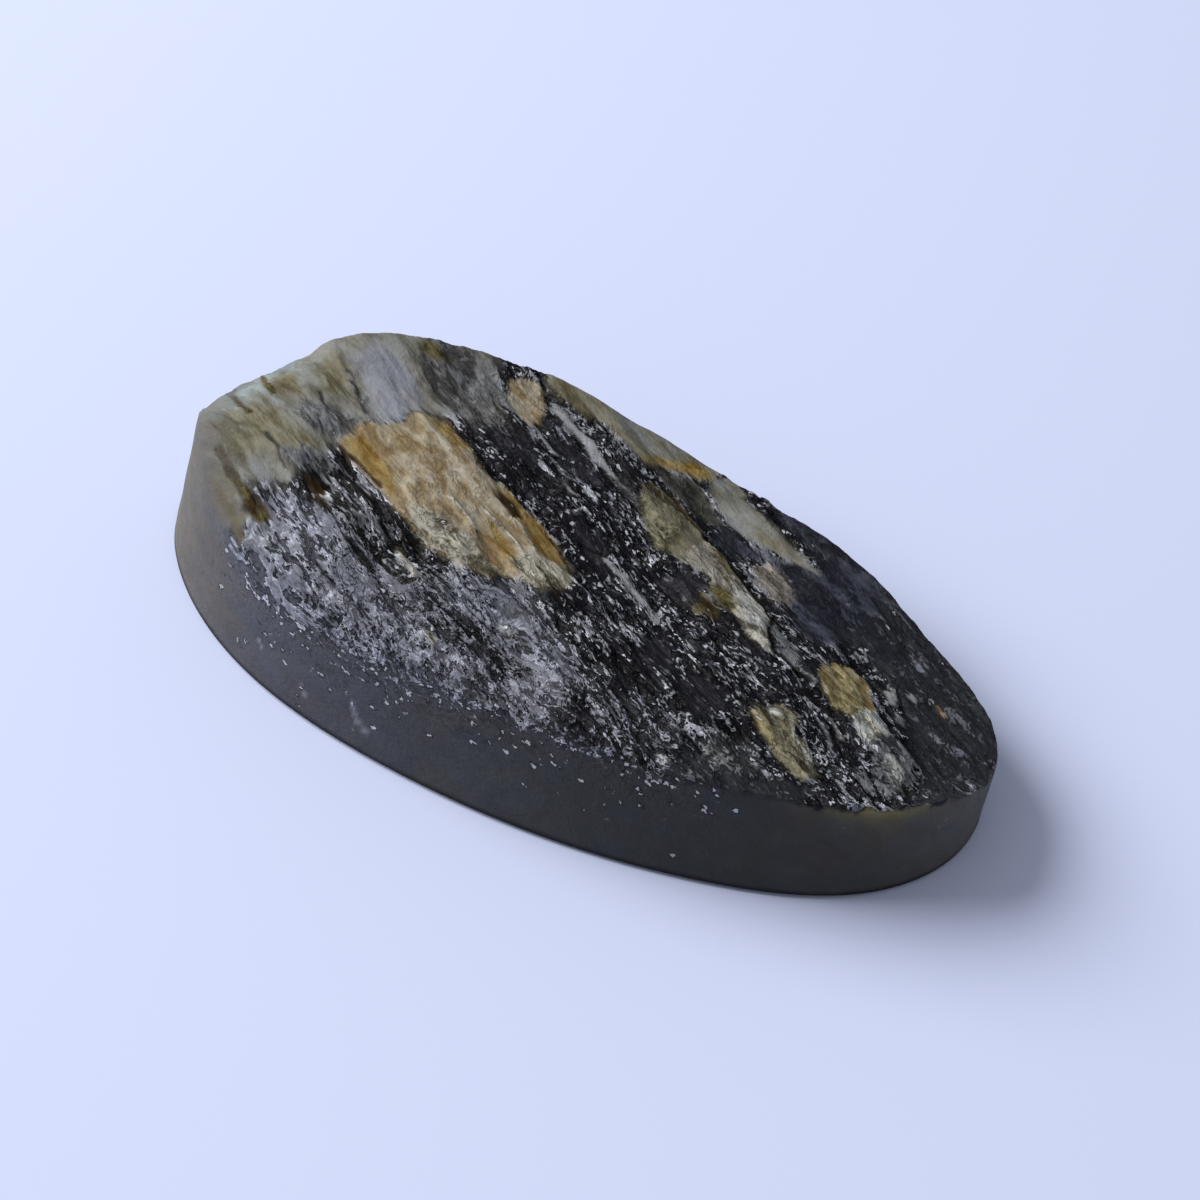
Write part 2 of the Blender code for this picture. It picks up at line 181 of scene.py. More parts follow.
# Where the tones lie on the top, one over the other: the tone, the width of its edge in
# millimetres, and its outline in plan.
PATCHES = (
    # Smooth black spots in the broken black stone.
    ("coal", 0.4, (
        (-4.4, 5.0), (-3.9, 5.7), (-3.2, 5.6), (-2.6, 5.1), (-2.1, 4.9), (-1.8, 4.5), (-2.5, 4.2),
        (-3.3, 4.4),
    )),
    ("coal", 0.4, ((-2.6, 4.0), (-1.7, 4.5), (-0.6, 4.2), (-0.7, 3.5), (-1.4, 3.4), (-2.0, 3.5))),
    ("coal", 0.6, ((-5.4, 3.6), (-4.6, 4.4), (-3.4, 3.8), (-3.0, 3.0), (-4.2, 2.6), (-5.2, 2.8))),
    ("coal", 0.5, ((4.2, 1.3), (4.9, 1.9), (5.9, 1.9), (6.6, 1.1), (6.3, 0.3), (5.4, 0.3), (4.6, 0.7))),
    ("coal", 0.5, ((5.1, -2.1), (5.5, -1.3), (6.5, -1.8), (7.0, -3.3), (6.2, -3.4))),
    ("coal", 0.6, ((7.6, -3.3), (8.1, -2.5), (9.2, -2.7), (9.7, -3.9), (9.1, -4.6), (8.2, -4.2))),
    ("coal", 0.4, ((8.0, 0.2), (8.7, 0.5), (10.1, -0.3), (10.2, -1.1), (9.0, -0.6))),
    ("coal", 0.5, ((-1.2, 1.8), (-0.3, 1.9), (1.1, 1.2), (2.1, 0.4), (1.5, 0.2), (0.0, 1.0))),
    # The grey front, its silvery upper part and the peppered stone below and beside it.
    ("grey", 0.9, (
        (-15.0, -5.6), (-13.0, -4.0), (-10.5, -4.2), (-8.0, -4.3), (-5.0, -4.8), (-3.5, -5.0), (-2.4, -4.0),
        (0.2, -2.9), (2.0, -3.9), (3.2, -4.7), (4.5, -5.6), (5.2, -7.2), (4.0, -9.5), (-4.0, -9.5),
        (-11.0, -9.0),
    )),
    ("silver", 0.5, (
        (-1.3, -3.6), (-0.2, -2.8), (0.9, -3.1), (2.1, -4.0), (3.6, -5.2), (2.0, -5.3), (0.3, -4.6),
    )),
    ("pepper", 0.9, (
        (-3.0, -5.0), (-1.5, -5.4), (0.5, -5.5), (2.5, -6.2), (2.0, -7.0), (-0.5, -6.9), (-2.5, -6.2),
    )),
    ("pepper", 0.9, (
        (4.5, -5.0), (7.0, -4.9), (9.2, -5.0), (9.8, -6.2), (9.4, -8.5), (7.0, -9.0), (4.5, -8.5),
    )),
    # The front rim near the thin end, with a grey flake.
    ("dusk", 0.6, (
        (9.4, -6.0), (10.4, -5.9), (11.6, -5.9), (13.0, -5.4), (14.6, -4.9), (14.0, -6.5), (11.0, -8.5),
        (9.0, -8.5),
    )),
    ("ash", 0.6, ((9.8, -4.9), (10.8, -4.3), (11.7, -4.7), (12.4, -5.4), (11.6, -6.2), (10.2, -6.2))),
    # The bluish stone at the back and the dark thin end.
    ("slate", 0.5, (
        (4.3, 5.4), (5.9, 5.0), (7.3, 4.9), (8.9, 5.6), (7.0, 6.7), (5.5, 7.4), (5.0, 9.5), (12.0, 9.0),
        (12.4, 5.0), (11.9, 3.2), (10.8, 1.8), (9.6, 2.2), (8.8, 3.4), (8.2, 4.3), (6.9, 4.7), (5.6, 3.9),
        (4.6, 4.3),
    )),
    ("dusk", 0.8, (
        (12.6, 8.5), (11.4, 3.6), (12.6, 2.8), (14.0, 2.4), (15.4, 0.8), (16.2, -0.4), (17.4, -1.6),
        (17.6, -4.0), (20.5, -5.0), (20.5, 5.0), (16.0, 9.0),
    )),
    # The smooth thick end, with its greenish, brown and grey parts.
    ("drab", 0.8, (
        (-20.0, 1.0), (-18.0, 5.0), (-12.0, 8.5), (-8.0, 7.6), (-7.0, 5.8), (-6.6, 4.6), (-7.4, 3.0),
        (-9.2, 1.8), (-9.8, 0.1), (-10.4, -0.9), (-10.2, -1.6), (-10.0, -2.8), (-10.8, -3.8), (-12.0, -4.4),
        (-14.5, -4.8), (-17.5, -4.0), (-20.0, -1.0),
    )),
    ("celadon", 1.0, (
        (-20.0, 2.5), (-17.0, 3.2), (-15.4, 3.4), (-14.6, 1.6), (-14.8, -0.8), (-14.4, -2.6), (-16.0, -4.2),
        (-20.0, -2.5),
    )),
    ("khaki", 0.9, (
        (-15.6, -1.6), (-13.4, -0.7), (-12.0, -1.4), (-11.0, -1.4), (-10.8, -2.2), (-12.5, -3.4),
        (-14.0, -4.2), (-15.4, -3.8),
    )),
    ("khaki", 0.8, ((-15.6, 2.2), (-14.4, 1.6), (-13.0, 0.5), (-14.2, 0.0), (-15.4, 0.8))),
    ("olive", 1.0, ((-15.0, 1.6), (-14.3, 1.3), (-13.8, 0.7), (-14.5, 0.8))),
    ("khaki", 0.9, ((-13.6, 3.2), (-12.4, 2.9), (-11.6, 1.4), (-12.6, 0.9), (-13.6, 1.9))),
    ("ash", 0.5, ((-11.9, -2.7), (-10.8, -1.9), (-9.4, -1.8), (-8.6, -2.3), (-9.6, -2.9), (-11.0, -3.2))),
    # A painted sheen of blue-grey, where the top reflects the light.
    ("mist", 0.9, (
        (-12.2, 4.4), (-10.0, 3.9), (-8.5, 2.9), (-8.8, 1.9), (-9.8, 0.9), (-10.3, 1.4), (-11.2, 2.4),
        (-12.6, 3.2),
    )),
    ("smoke", 0.9, (
        (-10.4, 6.4), (-8.0, 6.6), (-6.0, 5.4), (-5.2, 4.0), (-6.2, 3.0), (-8.0, 3.2), (-9.4, 3.9),
        (-10.4, 4.8),
    )),
    ("smoke", 0.5, ((-13.0, 0.2), (-11.4, 0.5), (-10.1, 0.4), (-10.3, -0.6), (-11.4, -1.0), (-12.6, -0.6))),
    ("olive", 0.4, ((-10.7, 5.7), (-9.8, 5.8), (-9.0, 5.6), (-9.2, 5.2), (-10.4, 5.1))),
    ("drab", 0.5, (
        (-17.0, -2.6), (-15.7, -3.2), (-14.7, -3.3), (-13.1, -4.1), (-12.0, -4.8), (-11.0, -5.3),
        (-11.4, -6.0), (-12.7, -5.9), (-14.5, -7.0), (-18.0, -5.5),
    )),
    ("rust", 0.3, ((-12.5, -4.5), (-11.5, -4.7), (-10.6, -5.1), (-10.9, -5.6), (-11.9, -5.4))),
    ("olive", 0.3, ((-11.4, -5.1), (-10.8, -5.1), (-10.6, -5.4), (-11.2, -5.5))),
    # The dark break in front of the large ochre patch.
    ("umber", 0.4, (
        (-9.6, -1.5), (-8.9, -1.6), (-7.5, -1.9), (-7.1, -2.9), (-5.2, -3.0), (-4.6, -4.3), (-3.4, -4.8),
        (-2.4, -4.4), (-3.6, -5.6), (-6.5, -4.9), (-8.5, -4.2), (-9.4, -3.4),
    )),
    ("rust", 0.25, ((-10.3, -2.8), (-9.5, -2.9), (-8.3, -4.2), (-9.3, -4.2), (-10.0, -3.5))),
    # The large ochre patch, golden along its edges and paler below.
    ("ochre", 0.3, (
        (-10.3, -0.9), (-9.9, 0.1), (-9.2, 1.0), (-8.3, 2.4), (-7.2, 2.6), (-5.6, 2.0), (-4.8, 1.2),
        (-3.4, 1.0), (-1.6, 0.5), (-0.3, 0.0), (0.8, -0.8), (1.8, -1.9), (1.0, -2.5), (-0.4, -2.7),
        (-1.4, -3.2), (-2.3, -3.7), (-3.7, -3.4), (-4.9, -3.0), (-6.4, -2.5), (-7.4, -1.9), (-8.8, -1.4),
    )),
    ("gold", 0.5, (
        (-10.2, -0.8), (-9.6, -0.1), (-8.4, -0.6), (-7.0, -1.3), (-6.6, -2.2), (-7.4, -1.9), (-8.8, -1.4),
    )),
    ("gold", 0.4, (
        (-3.6, 0.9), (-1.6, 0.45), (-0.3, 0.0), (0.7, -0.9), (0.0, -1.6), (-0.8, -0.9), (-2.6, 0.0),
    )),
    ("gold", 0.4, ((-8.2, 2.2), (-7.2, 2.5), (-5.6, 1.9), (-6.0, 1.4), (-7.3, 1.9))),
    ("gold", 0.4, ((-2.9, -0.9), (-1.8, -1.3), (-0.6, -2.1), (0.6, -2.6), (-0.6, -2.5), (-2.0, -1.9))),
    ("straw", 0.6, ((-6.0, -2.2), (-4.6, -2.0), (-2.6, -2.3), (-1.2, -3.1), (-2.4, -3.7), (-4.9, -3.0))),
    ("straw", 0.5, (
        (-0.6, -1.3), (0.2, -1.2), (1.2, -1.8), (1.7, -2.0), (1.0, -2.6), (-0.2, -2.7), (-1.0, -2.2),
    )),
    ("khaki", 0.3, ((0.2, -0.4), (0.9, -0.8), (1.8, -1.8), (1.3, -2.1), (0.7, -1.2))),
    # The small ochre patch behind it.
    ("ochre", 0.25, (
        (-6.5, 6.0), (-6.2, 6.8), (-5.4, 6.8), (-4.7, 6.2), (-4.2, 5.6), (-4.4, 5.2), (-4.5, 4.6),
        (-5.0, 4.8), (-5.6, 5.0), (-6.1, 5.3),
    )),
    # The olive strip along the back rim, golden at its end, and the pale patch beyond.
    ("khaki", 0.5, (
        (-5.8, 7.8), (-4.8, 6.8), (-3.4, 6.5), (-2.0, 6.6), (-0.9, 6.3), (0.4, 5.9), (1.5, 6.6), (2.4, 6.8),
        (2.9, 7.3), (2.6, 9.0), (-2.0, 8.6),
    )),
    ("drab", 0.6, ((-2.4, 7.2), (0.0, 6.7), (1.4, 7.4), (0.6, 8.8), (-2.4, 8.4))),
    ("gold", 0.4, ((0.2, 6.2), (1.2, 6.6), (2.4, 6.9), (2.8, 7.4), (2.2, 7.8), (1.4, 7.2), (0.4, 6.6))),
    ("moss", 0.3, ((0.6, 5.9), (1.4, 6.4), (2.4, 6.7), (3.4, 6.2), (4.6, 5.3), (3.4, 4.9), (2.2, 5.3))),
    ("drab", 0.3, (
        (2.8, 7.4), (3.4, 8.6), (4.6, 7.0), (6.0, 6.5), (7.4, 5.9), (9.0, 5.3), (7.2, 5.1), (5.9, 5.2),
        (4.6, 5.4), (3.6, 6.3), (3.0, 6.8),
    )),
    ("khaki", 0.3, ((5.8, 5.9), (7.2, 5.5), (7.4, 5.2), (6.2, 5.3))),
    # A sandy flake, and the long pale vein.
    ("sand", 0.3, ((6.6, 4.0), (7.0, 4.6), (7.9, 4.3), (8.6, 3.9), (8.9, 3.3), (8.2, 2.9), (7.3, 3.3))),
    ("vein", 0.12, (
        (-4.6, 6.4), (-4.0, 6.3), (-3.2, 5.9), (-2.3, 5.6), (-1.7, 5.4), (-1.1, 4.9), (-0.5, 4.6),
        (0.3, 4.2), (1.2, 3.8), (1.9, 3.3), (0.8, 3.85), (0.0, 4.15), (-0.6, 4.35), (-1.4, 4.7),
        (-1.8, 4.95), (-2.2, 5.2), (-2.8, 5.4), (-3.4, 5.7), (-4.0, 5.85), (-4.4, 6.0),
    )),
    # The brown band beside the vein, pale along its right, with its hollows.
    ("loam", 0.25, (
        (1.1, 5.2), (2.2, 5.0), (3.3, 4.5), (4.3, 4.1), (4.6, 2.0), (3.2, 2.1), (2.4, 2.7), (1.7, 3.4),
        (1.2, 4.2),
    )),
    ("khaki", 0.5, ((3.6, 4.2), (4.4, 4.0), (5.0, 3.0), (4.6, 2.2), (3.8, 2.3), (3.6, 3.2))),
    ("straw", 0.25, (
        (4.4, 4.0), (5.6, 3.7), (6.5, 3.1), (7.8, 2.6), (8.6, 1.9), (9.0, 1.1), (9.7, 0.1), (8.6, 0.3),
        (8.0, 0.7), (7.2, 1.1), (6.2, 1.3), (5.8, 2.0), (4.6, 1.9),
    )),
    ("bone", 0.4, ((6.3, 3.1), (7.8, 2.5), (8.6, 1.8), (8.9, 0.9), (8.1, 0.8), (7.6, 1.5), (6.8, 2.3))),
    ("olive", 0.4, ((6.2, 2.0), (6.8, 1.9), (7.3, 1.2), (6.9, 1.0), (5.9, 1.5))),
    ("olive", 0.3, ((5.8, 1.2), (7.0, 0.9), (7.0, 0.2), (6.0, 0.2))),
    ("ash", 0.2, (
        (8.9, 1.8), (9.9, 1.3), (10.6, 0.7), (11.4, 0.1), (12.4, -0.5), (11.2, -0.2), (10.2, 0.15),
        (9.3, 0.9),
    )),
    # The ochre patch near the thin end, the pale flakes below it and the small ones beside it.
    ("crumb", 0.14, (
        (11.4, 0.6), (11.8, 1.5), (12.3, 1.95), (13.0, 1.6), (13.4, 1.3), (13.95, 0.5), (14.3, 0.1),
        (14.7, -0.2), (15.0, -0.7), (14.8, -1.5), (14.2, -1.4), (13.65, -0.9), (12.8, -0.85), (12.2, -0.3),
        (11.7, 0.1),
    )),
    ("gold", 0.2, (
        (12.8, 1.8), (13.3, 1.4), (14.0, 0.5), (14.4, 0.0), (14.1, -0.2), (13.6, 0.4), (13.1, 1.1),
    )),
    ("bone", 0.15, ((14.0, -0.1), (15.0, -0.1), (15.5, -0.9), (15.3, -2.0), (14.2, -1.6), (13.8, -0.9))),
    ("ash", 0.2, (
        (15.05, -1.0), (15.9, -0.45), (16.3, -1.0), (16.7, -1.6), (17.1, -2.15), (17.1, -3.0), (16.9, -3.8),
        (16.3, -3.6), (15.6, -2.9), (15.2, -2.0),
    )),
    ("bone", 0.2, ((15.9, -1.6), (16.6, -2.0), (17.0, -2.7), (16.9, -3.3), (16.2, -2.8), (15.8, -2.2))),
    ("ash", 0.2, ((15.0, -3.1), (15.6, -3.2), (16.5, -3.9), (15.9, -4.0), (15.2, -3.6))),
    ("vein", 0.15, ((13.8, 2.1), (14.2, 2.0), (14.7, 1.3), (14.4, 1.2), (14.0, 1.6))),
    ("vein", 0.15, ((14.9, 2.2), (15.3, 2.0), (15.4, 1.7), (15.0, 1.8))),
    ("vein", 0.15, ((14.8, 1.0), (15.2, 0.9), (15.5, 0.4), (15.1, 0.4))),
    # The tan flake near the front rim.
    ("loam", 0.14, (
        (10.4, -3.0), (10.8, -2.5), (11.2, -2.1), (12.1, -2.1), (12.4, -2.9), (13.0, -3.1), (13.5, -3.6),
        (14.3, -4.4), (13.9, -5.0), (12.75, -4.7), (11.75, -4.0), (11.1, -3.6),
    )),
    ("crumb", 0.2, ((10.5, -3.0), (10.9, -2.8), (11.5, -3.3), (11.9, -3.7), (11.8, -3.9), (11.2, -3.6))),
    ("bone", 0.2, ((10.9, -2.5), (11.3, -2.3), (11.7, -2.4), (11.4, -2.8))),
    # A bright flake in the grey front.
    ("chalk", 0.15, ((0.2, -4.9), (0.6, -4.7), (1.1, -4.8), (0.9, -5.0), (0.4, -5.05))),
)

# Narrow marks laid over them: the tone, half the width in millimetres, and the line's points.
STREAKS = (
    ("olive", 0.15, ((-17.6, 1.1), (-16.5, -0.2), (-15.1, -1.2), (-14.4, -1.5))),
    ("olive", 0.13, ((-16.9, 2.3), (-15.6, 0.95), (-14.4, 0.0))),
    ("mist", 0.25, ((-16.2, 3.1), (-15.6, 2.5))),
    ("smoke", 0.05, ((-11.0, 2.0), (-10.6, 1.4), (-10.1, 0.8))),
    ("rust", 0.07, ((-10.3, -0.95), (-8.9, -1.25), (-7.5, -1.8))),
    ("rust", 0.24, ((-3.1, 0.45), (-2.6, 0.35), (-2.2, 0.15))),
    ("gold", 0.06, ((-3.2, 0.95), (-1.6, 0.35), (-0.5, -0.05))),
    ("rust", 0.05, ((-0.5, 0.0), (0.4, -0.5), (1.3, -1.3))),
    ("rust", 0.05, ((0.2, -1.9), (1.0, -2.3), (1.6, -2.7))),
    ("cream", 0.06, ((0.4, -1.0), (0.9, -1.4), (1.4, -2.1))),
    ("cream", 0.06, ((-1.7, -3.0), (-1.2, -2.8), (-0.7, -2.8))),
    ("bone", 0.05, ((-3.4, -0.55), (-2.4, -0.9), (-1.3, -1.25), (-0.6, -1.75))),
    ("bone", 0.04, ((-4.8, -0.9), (-3.3, -1.5), (-2.0, -2.3))),
    ("bone", 0.04, ((-2.6, -0.1), (-1.4, -0.6), (-0.3, -1.3))),
    ("vein", 0.07, ((-4.4, 4.8), (-3.6, 4.4), (-2.8, 4.1))),
    ("chalk", 0.07, ((-2.7, 3.7), (-2.1, 3.5), (-1.7, 3.2))),
    ("vein", 0.07, ((-1.8, 3.0), (-1.0, 2.6))),
    ("chalk", 0.12, ((-0.8, 3.2), (-0.2, 3.0))),
    ("chalk", 0.07, ((-0.6, 1.5), (-0.3, 1.8), (-0.3, 2.2))),
    ("vein", 0.1, ((1.8, 0.5), (3.0, 0.1), (4.1, -0.4))),
    ("vein", 0.07, ((4.2, -0.2), (4.7, -0.7), (5.2, -1.1))),
    ("rust", 0.1, ((2.2, 5.15), (3.3, 4.6), (4.2, 4.3))),
    # Painted shadow, near-black, along the upper edge of the brown band's step.
    ("gap", 0.09, ((4.2, 4.2), (5.6, 3.85), (6.3, 3.3), (7.6, 2.75), (8.5, 2.2), (9.2, 1.85))),
    ("gap", 0.07, ((8.8, 1.5), (9.2, 0.8), (9.8, 0.3), (11.6, -0.3))),
    # Painted shade in a small pit.
    ("gap", 0.18, ((-5.4, -3.1), (-4.7, -3.25), (-4.3, -3.6))),
    ("straw", 0.14, ((-5.1, -3.9), (-4.6, -4.3), (-3.8, -4.9))),
    ("gap", 0.1, ((-7.0, -4.9), (-6.0, -5.2), (-5.2, -5.6))),
    ("gap", 0.12, ((-6.4, -3.4), (-5.4, -3.9), (-4.9, -4.6))),
    ("chalk", 0.11, ((-9.2, -3.3), (-8.9, -3.6), (-8.7, -3.8))),
    ("olive", 0.16, ((-14.4, -3.6), (-13.2, -4.3), (-12.2, -4.8))),
    ("khaki", 0.14, ((-14.8, -4.4), (-13.4, -5.0), (-12.2, -5.7), (-11.4, -6.3))),
    ("gap", 0.12, ((-9.4, -2.1), (-8.4, -2.3), (-7.2, -2.6))),
    ("smoke", 0.1, ((-12.4, 2.7), (-11.2, 1.8), (-10.2, 1.0))),
    ("moss", 0.06, ((-11.5, 2.1), (-10.8, 1.5), (-10.0, 0.8))),
    ("moss", 0.07, ((-12.6, 1.0), (-12.0, 0.5), (-11.4, 0.0))),
    ("moss", 0.08, ((-13.0, -2.2), (-12.1, -2.7), (-11.3, -3.3))),
    ("gold", 0.05, ((16.0, 2.3), (16.3, 1.95))),
    ("gap", 0.05, ((14.1, 0.9), (14.6, 0.2), (15.3, -0.5))),
    ("bone", 0.05, ((13.2, 1.5), (13.9, 0.6), (14.4, 0.0), (14.9, -0.5))),
    ("bone", 0.05, ((11.9, -2.3), (12.4, -3.1), (13.2, -3.6), (14.0, -4.4))),
    ("bone", 0.04, ((10.7, -3.0), (11.2, -2.6), (11.6, -2.9))),
    ("bone", 0.05, ((13.0, -1.4), (13.6, -1.7), (14.3, -2.2))),
    ("vein", 0.06, ((12.6, -1.6), (13.3, -2.2), (14.2, -3.0))),
    ("vein", 0.06, ((14.8, -4.1), (15.2, -4.4), (15.6, -4.6))),
    ("rust", 0.06, ((10.5, -3.0), (11.2, -3.6))),
    ("cream", 0.17, ((14.3, -0.6), (14.8, -0.9), (14.9, -1.3))),
    ("rust", 0.12, ((6.0, 0.9), (6.8, 0.6))),
    ("straw", 0.16, ((-1.45, -7.1), (-1.15, -7.25))),
    ("chalk", 0.13, ((8.9, -6.85), (9.1, -6.95))),
)

# Where a tone's row of numbers holds its colours, its share of splinters, its softness, how broken
# it is and how far it stands up.
GAP, SPLINTER, COLOURS = slice(0, 3), slice(3, 6), slice(0, 6)
SHARE, SOFTNESS, BROKEN, RAISED = 6, 7, 8, 9

# A patch whose edge is at most this wide stands out with a thin dark line round it: how much
# darker it is, how far outside the edge and how wide.
CRISP_EDGE = 0.25
LINE_SHADE = 0.6
LINE_PLACE = 0.05
LINE_WIDTH = 0.07

# The wall's tint at equal steps round the oval, from the thin end by way of the back. Besides the
# stone's own paler, taupe colour at the thick end, it paints light and shade on the wall: lighter
# round the thick end, which faces the soft box, and at the thin end, from the floor's bounce, and
# darker along the front.
WALL_TINTS_AND_LIGHT = np.array([
    (2.7, 2.6, 2.3), (1.3, 1.3, 1.3), (1.2, 1.2, 1.2), (1.3, 1.3, 1.25), (1.6, 1.6, 1.5),
    (3.0, 2.8, 2.4), (3.9, 4.1, 3.6), (3.5, 3.25, 2.6), (2.15, 2.15, 2.25), (1.5, 1.52, 1.52),
    (1.02, 1.03, 1.0), (1.3, 1.25, 1.13),
])  # fmt: skip

# How far in from the rim the grinding's finish reaches, at the same steps, and how far past that
# it takes over in full.
GROUND_REACH = np.array([0.0, 0.0, 0.0, 0.0, 0.0, 0.3, 1.6, 1.8, 0.4, 0.3, 0.3, 0.0]) * MM
GROUND_FADE = 0.3 * MM

# The rounded swell on the broken corner: its middle in plan, its length and width in millimetres,
# and its height.
CORNER_SWELL = ((-17.2, 1.0), (1.3, 1.7), 0.42)

# The yellow stain under the rim: where it is round the oval, half its width, how fast it fades
# down the wall, and its colour.
STAIN_TURN = math.radians(333)
STAIN_WIDTH = math.radians(9)
STAIN_DEPTH = 0.5 * MM
STAIN_COLOUR = (0.22, 0.190, 0.080)

# Along the front the wall's top crumbles: how far to the front that starts, as a share of half the
# oval's width, how fast it takes over, what it adds to the wall's share of splinters and to how
# broken the wall is, and how bright the wall's flecks stay elsewhere.
CRUMBLE_START = 0.72
CRUMBLE_RISE = 7
CRUMBLE_SHARE = 0.7
CRUMBLE_BREAK = 0.8
PLAIN_FLECKS = 0.4

# The share of sparks on broken stone, where the wall crumbles, and everywhere.
BREAK_SPARKS = 0.12
CRUMBLE_SPARKS = 0.45
LONE_SPARKS = 0.006

# Pale marks on the wall: half the width in millimetres, and the line's points, each as degrees round
# the oval and millimetres below the rim. Then how much lighter they are.
WALL_MARKS = (
    (0.12, ((258.5, 2.6), (259.0, 3.05), (259.8, 3.35), (260.8, 3.5))),
    (0.08, ((250.0, 2.9), (251.0, 3.4))),
    (0.08, ((241.5, 2.1), (242.5, 2.5))),
)
WALL_MARK_LIGHT = 1.6

# How far the flecks are drawn out along the grain at the rim, and further in on the top, with how
# far in that starts and ends. Towards the thick end they are drawn out in full.
DRAWN_AT_RIM = 0.25
DRAWN_INSIDE = 0.6
DRAWN_START = 1.5 * MM
DRAWN_END = 4.0 * MM
THICK_END_START = 3 * MM
THICK_END_FADE = 6 * MM

# The sizes of the finish's grains in millimetres: along the grain, across it and up.
LONG_FLECK = (0.75, 0.13, 0.40)
SHORT_FLECK = (0.26, 0.14, 0.20)
CLUSTER = (1.9, 0.7, 0.9)
CLOUD = (0.9, 0.45, 0.5)
WOBBLE = (0.35, 0.14, 0.22)
CHIP = (0.50, 0.13, 0.25)
GLOW = (0.6, 0.27, 0.5)
FINE_GRAIN = (0.20, 0.09, 0.12)
CURL = (1.15, 0.46, 0.6)
CURL_LENGTH = (0.50, 0.32, 0.35)
SPARK = (0.40, 0.20, 0.26)
WARMTH = (3.2, 1.1, 1.6)

# The colour of the sparks' painted glints.
SPARK_GLINT_COLOUR = (0.44, 0.45, 0.49, 1.0)
COOL_TINT = (0.95, 0.995, 1.05, 1.0)
WARM_TINT = (1.045, 1.005, 0.93, 1.0)
WHITE = (1.0, 1.0, 1.0, 1.0)
BUMP_DEPTH = 0.1 * MM

# How far below the solid's top the peaks start to bend over.
PEAK_BEND = 0.15 * MM

# Where each zone of the surface ends, counted from the middle of the top down to that of the base.
RIM = 1.0
WALL_FOOT = 2.0
BASE_EDGE = 3.0
BASE_MIDDLE = 4.0


def noise(places, seed):
    """Smooth noise from about -1 to 1: every corner of a unit grid has a slope drawn by chance, and
    the four slopes round a place are blended by how near each corner is."""
    slopes = np.random.default_rng(seed).uniform(-NOISE_SLOPE, NOISE_SLOPE, (NOISE_TILE, NOISE_TILE, 2))
    cells = np.floor(places).astype(int)
    part = places - cells
    fade = part * part * (3 - 2 * part)
    total = np.zeros(len(places))
    for corner in np.ndindex(2, 2):
        weight = np.prod(np.where(corner, fade, 1 - fade), axis=1)
        row, column = ((cells + corner) % NOISE_TILE).T
        total += weight * np.sum(slopes[row, column] * (part - corner), axis=1)
    return total


def layered(places, layers):
    """Layers of noise added up, each as high as its own height."""
    return sum(height * noise(places / size, seed) for size, height, seed in layers)


def stepped(value, step, steepness):
    """Cut a value into treads, with risers between them that take one over steepness of a step."""
    level, tread = np.divmod(value / step, 1)
    return step * (level + np.clip((tread - 0.5) * steepness + 0.5, 0, 1))


def round_the_oval(stations, turn):
    """Read a value between equal steps round the oval, along a smooth cubic through four of them."""
    count = len(stations)
    place = np.mod(turn, math.tau) / math.tau * count
    index = np.floor(place).astype(int)
    part = place - index
    before, here, after, beyond = (stations[(index + step) % count] for step in (-1, 0, 1, 2))
    bend = 2 * before - 5 * here + 4 * after - beyond + (3 * (here - after) + beyond - before) * part
    return here + 0.5 * part * (after - before + bend * part)


def beside_line(points, start, end):
    """How far points lie to the right of a line in plan, and how far past its ends."""
    start, end = np.array(start) * MM, np.array(end) * MM
    length = np.linalg.norm(end - start)
    direction = (end - start) / length
    offset = points[:, :2] - start
    forward = offset @ direction
    right = offset[:, 0] * direction[1] - offset[:, 1] * direction[0]
    beyond = np.maximum(np.maximum(-forward, forward - length), 0)
    return right, beyond


def smooth_step(share):
    """Rise from 0 to 1 with a level start and end."""
    share = np.clip(share, 0, 1)
    return share * share * (3 - 2 * share)


def within(places, outline, margin):
    """Which places lie in the outline's box, with a margin round it."""
    outline = np.array(outline)
    return np.all((places > outline.min(axis=0) - margin) & (places < outline.max(axis=0) + margin), axis=1)


def outline_distance(places, outline, closed):
    """How far places are from the nearest side of an outline, less than nothing inside a closed one.
    A place is inside where a ray from it crosses an odd number of sides."""
    starts = np.array(outline)
    ends = np.roll(starts, -1, axis=0)
    if not closed:
        starts, ends = starts[:-1], ends[:-1]
    sides = ends - starts
    offset = places[:, None] - starts
    share = np.clip(np.sum(offset * sides, axis=2) / np.sum(sides**2, axis=1), 0, 1)
    distance = np.linalg.norm(offset - share[:, :, None] * sides, axis=2).min(axis=1)
    if not closed:
        return distance
    level = places[:, 1, None]
    spans = (starts[:, 1] > level) != (ends[:, 1] > level)
    rise = np.where(sides[:, 1] == 0, 1, sides[:, 1])
    crossed = spans & (offset[:, :, 0] < offset[:, :, 1] / rise * sides[:, 0])
    return np.where(np.sum(crossed, axis=1) % 2 == 1, -distance, distance)


def along_mark(places, line, width):
    """Which places are near a narrow mark, and how far inside it each of them lies, from 0 to 1."""
    near = within(places, line, 2 * width)
    return near, smooth_step(1.5 - outline_distance(places[near], line, closed=False) / width)


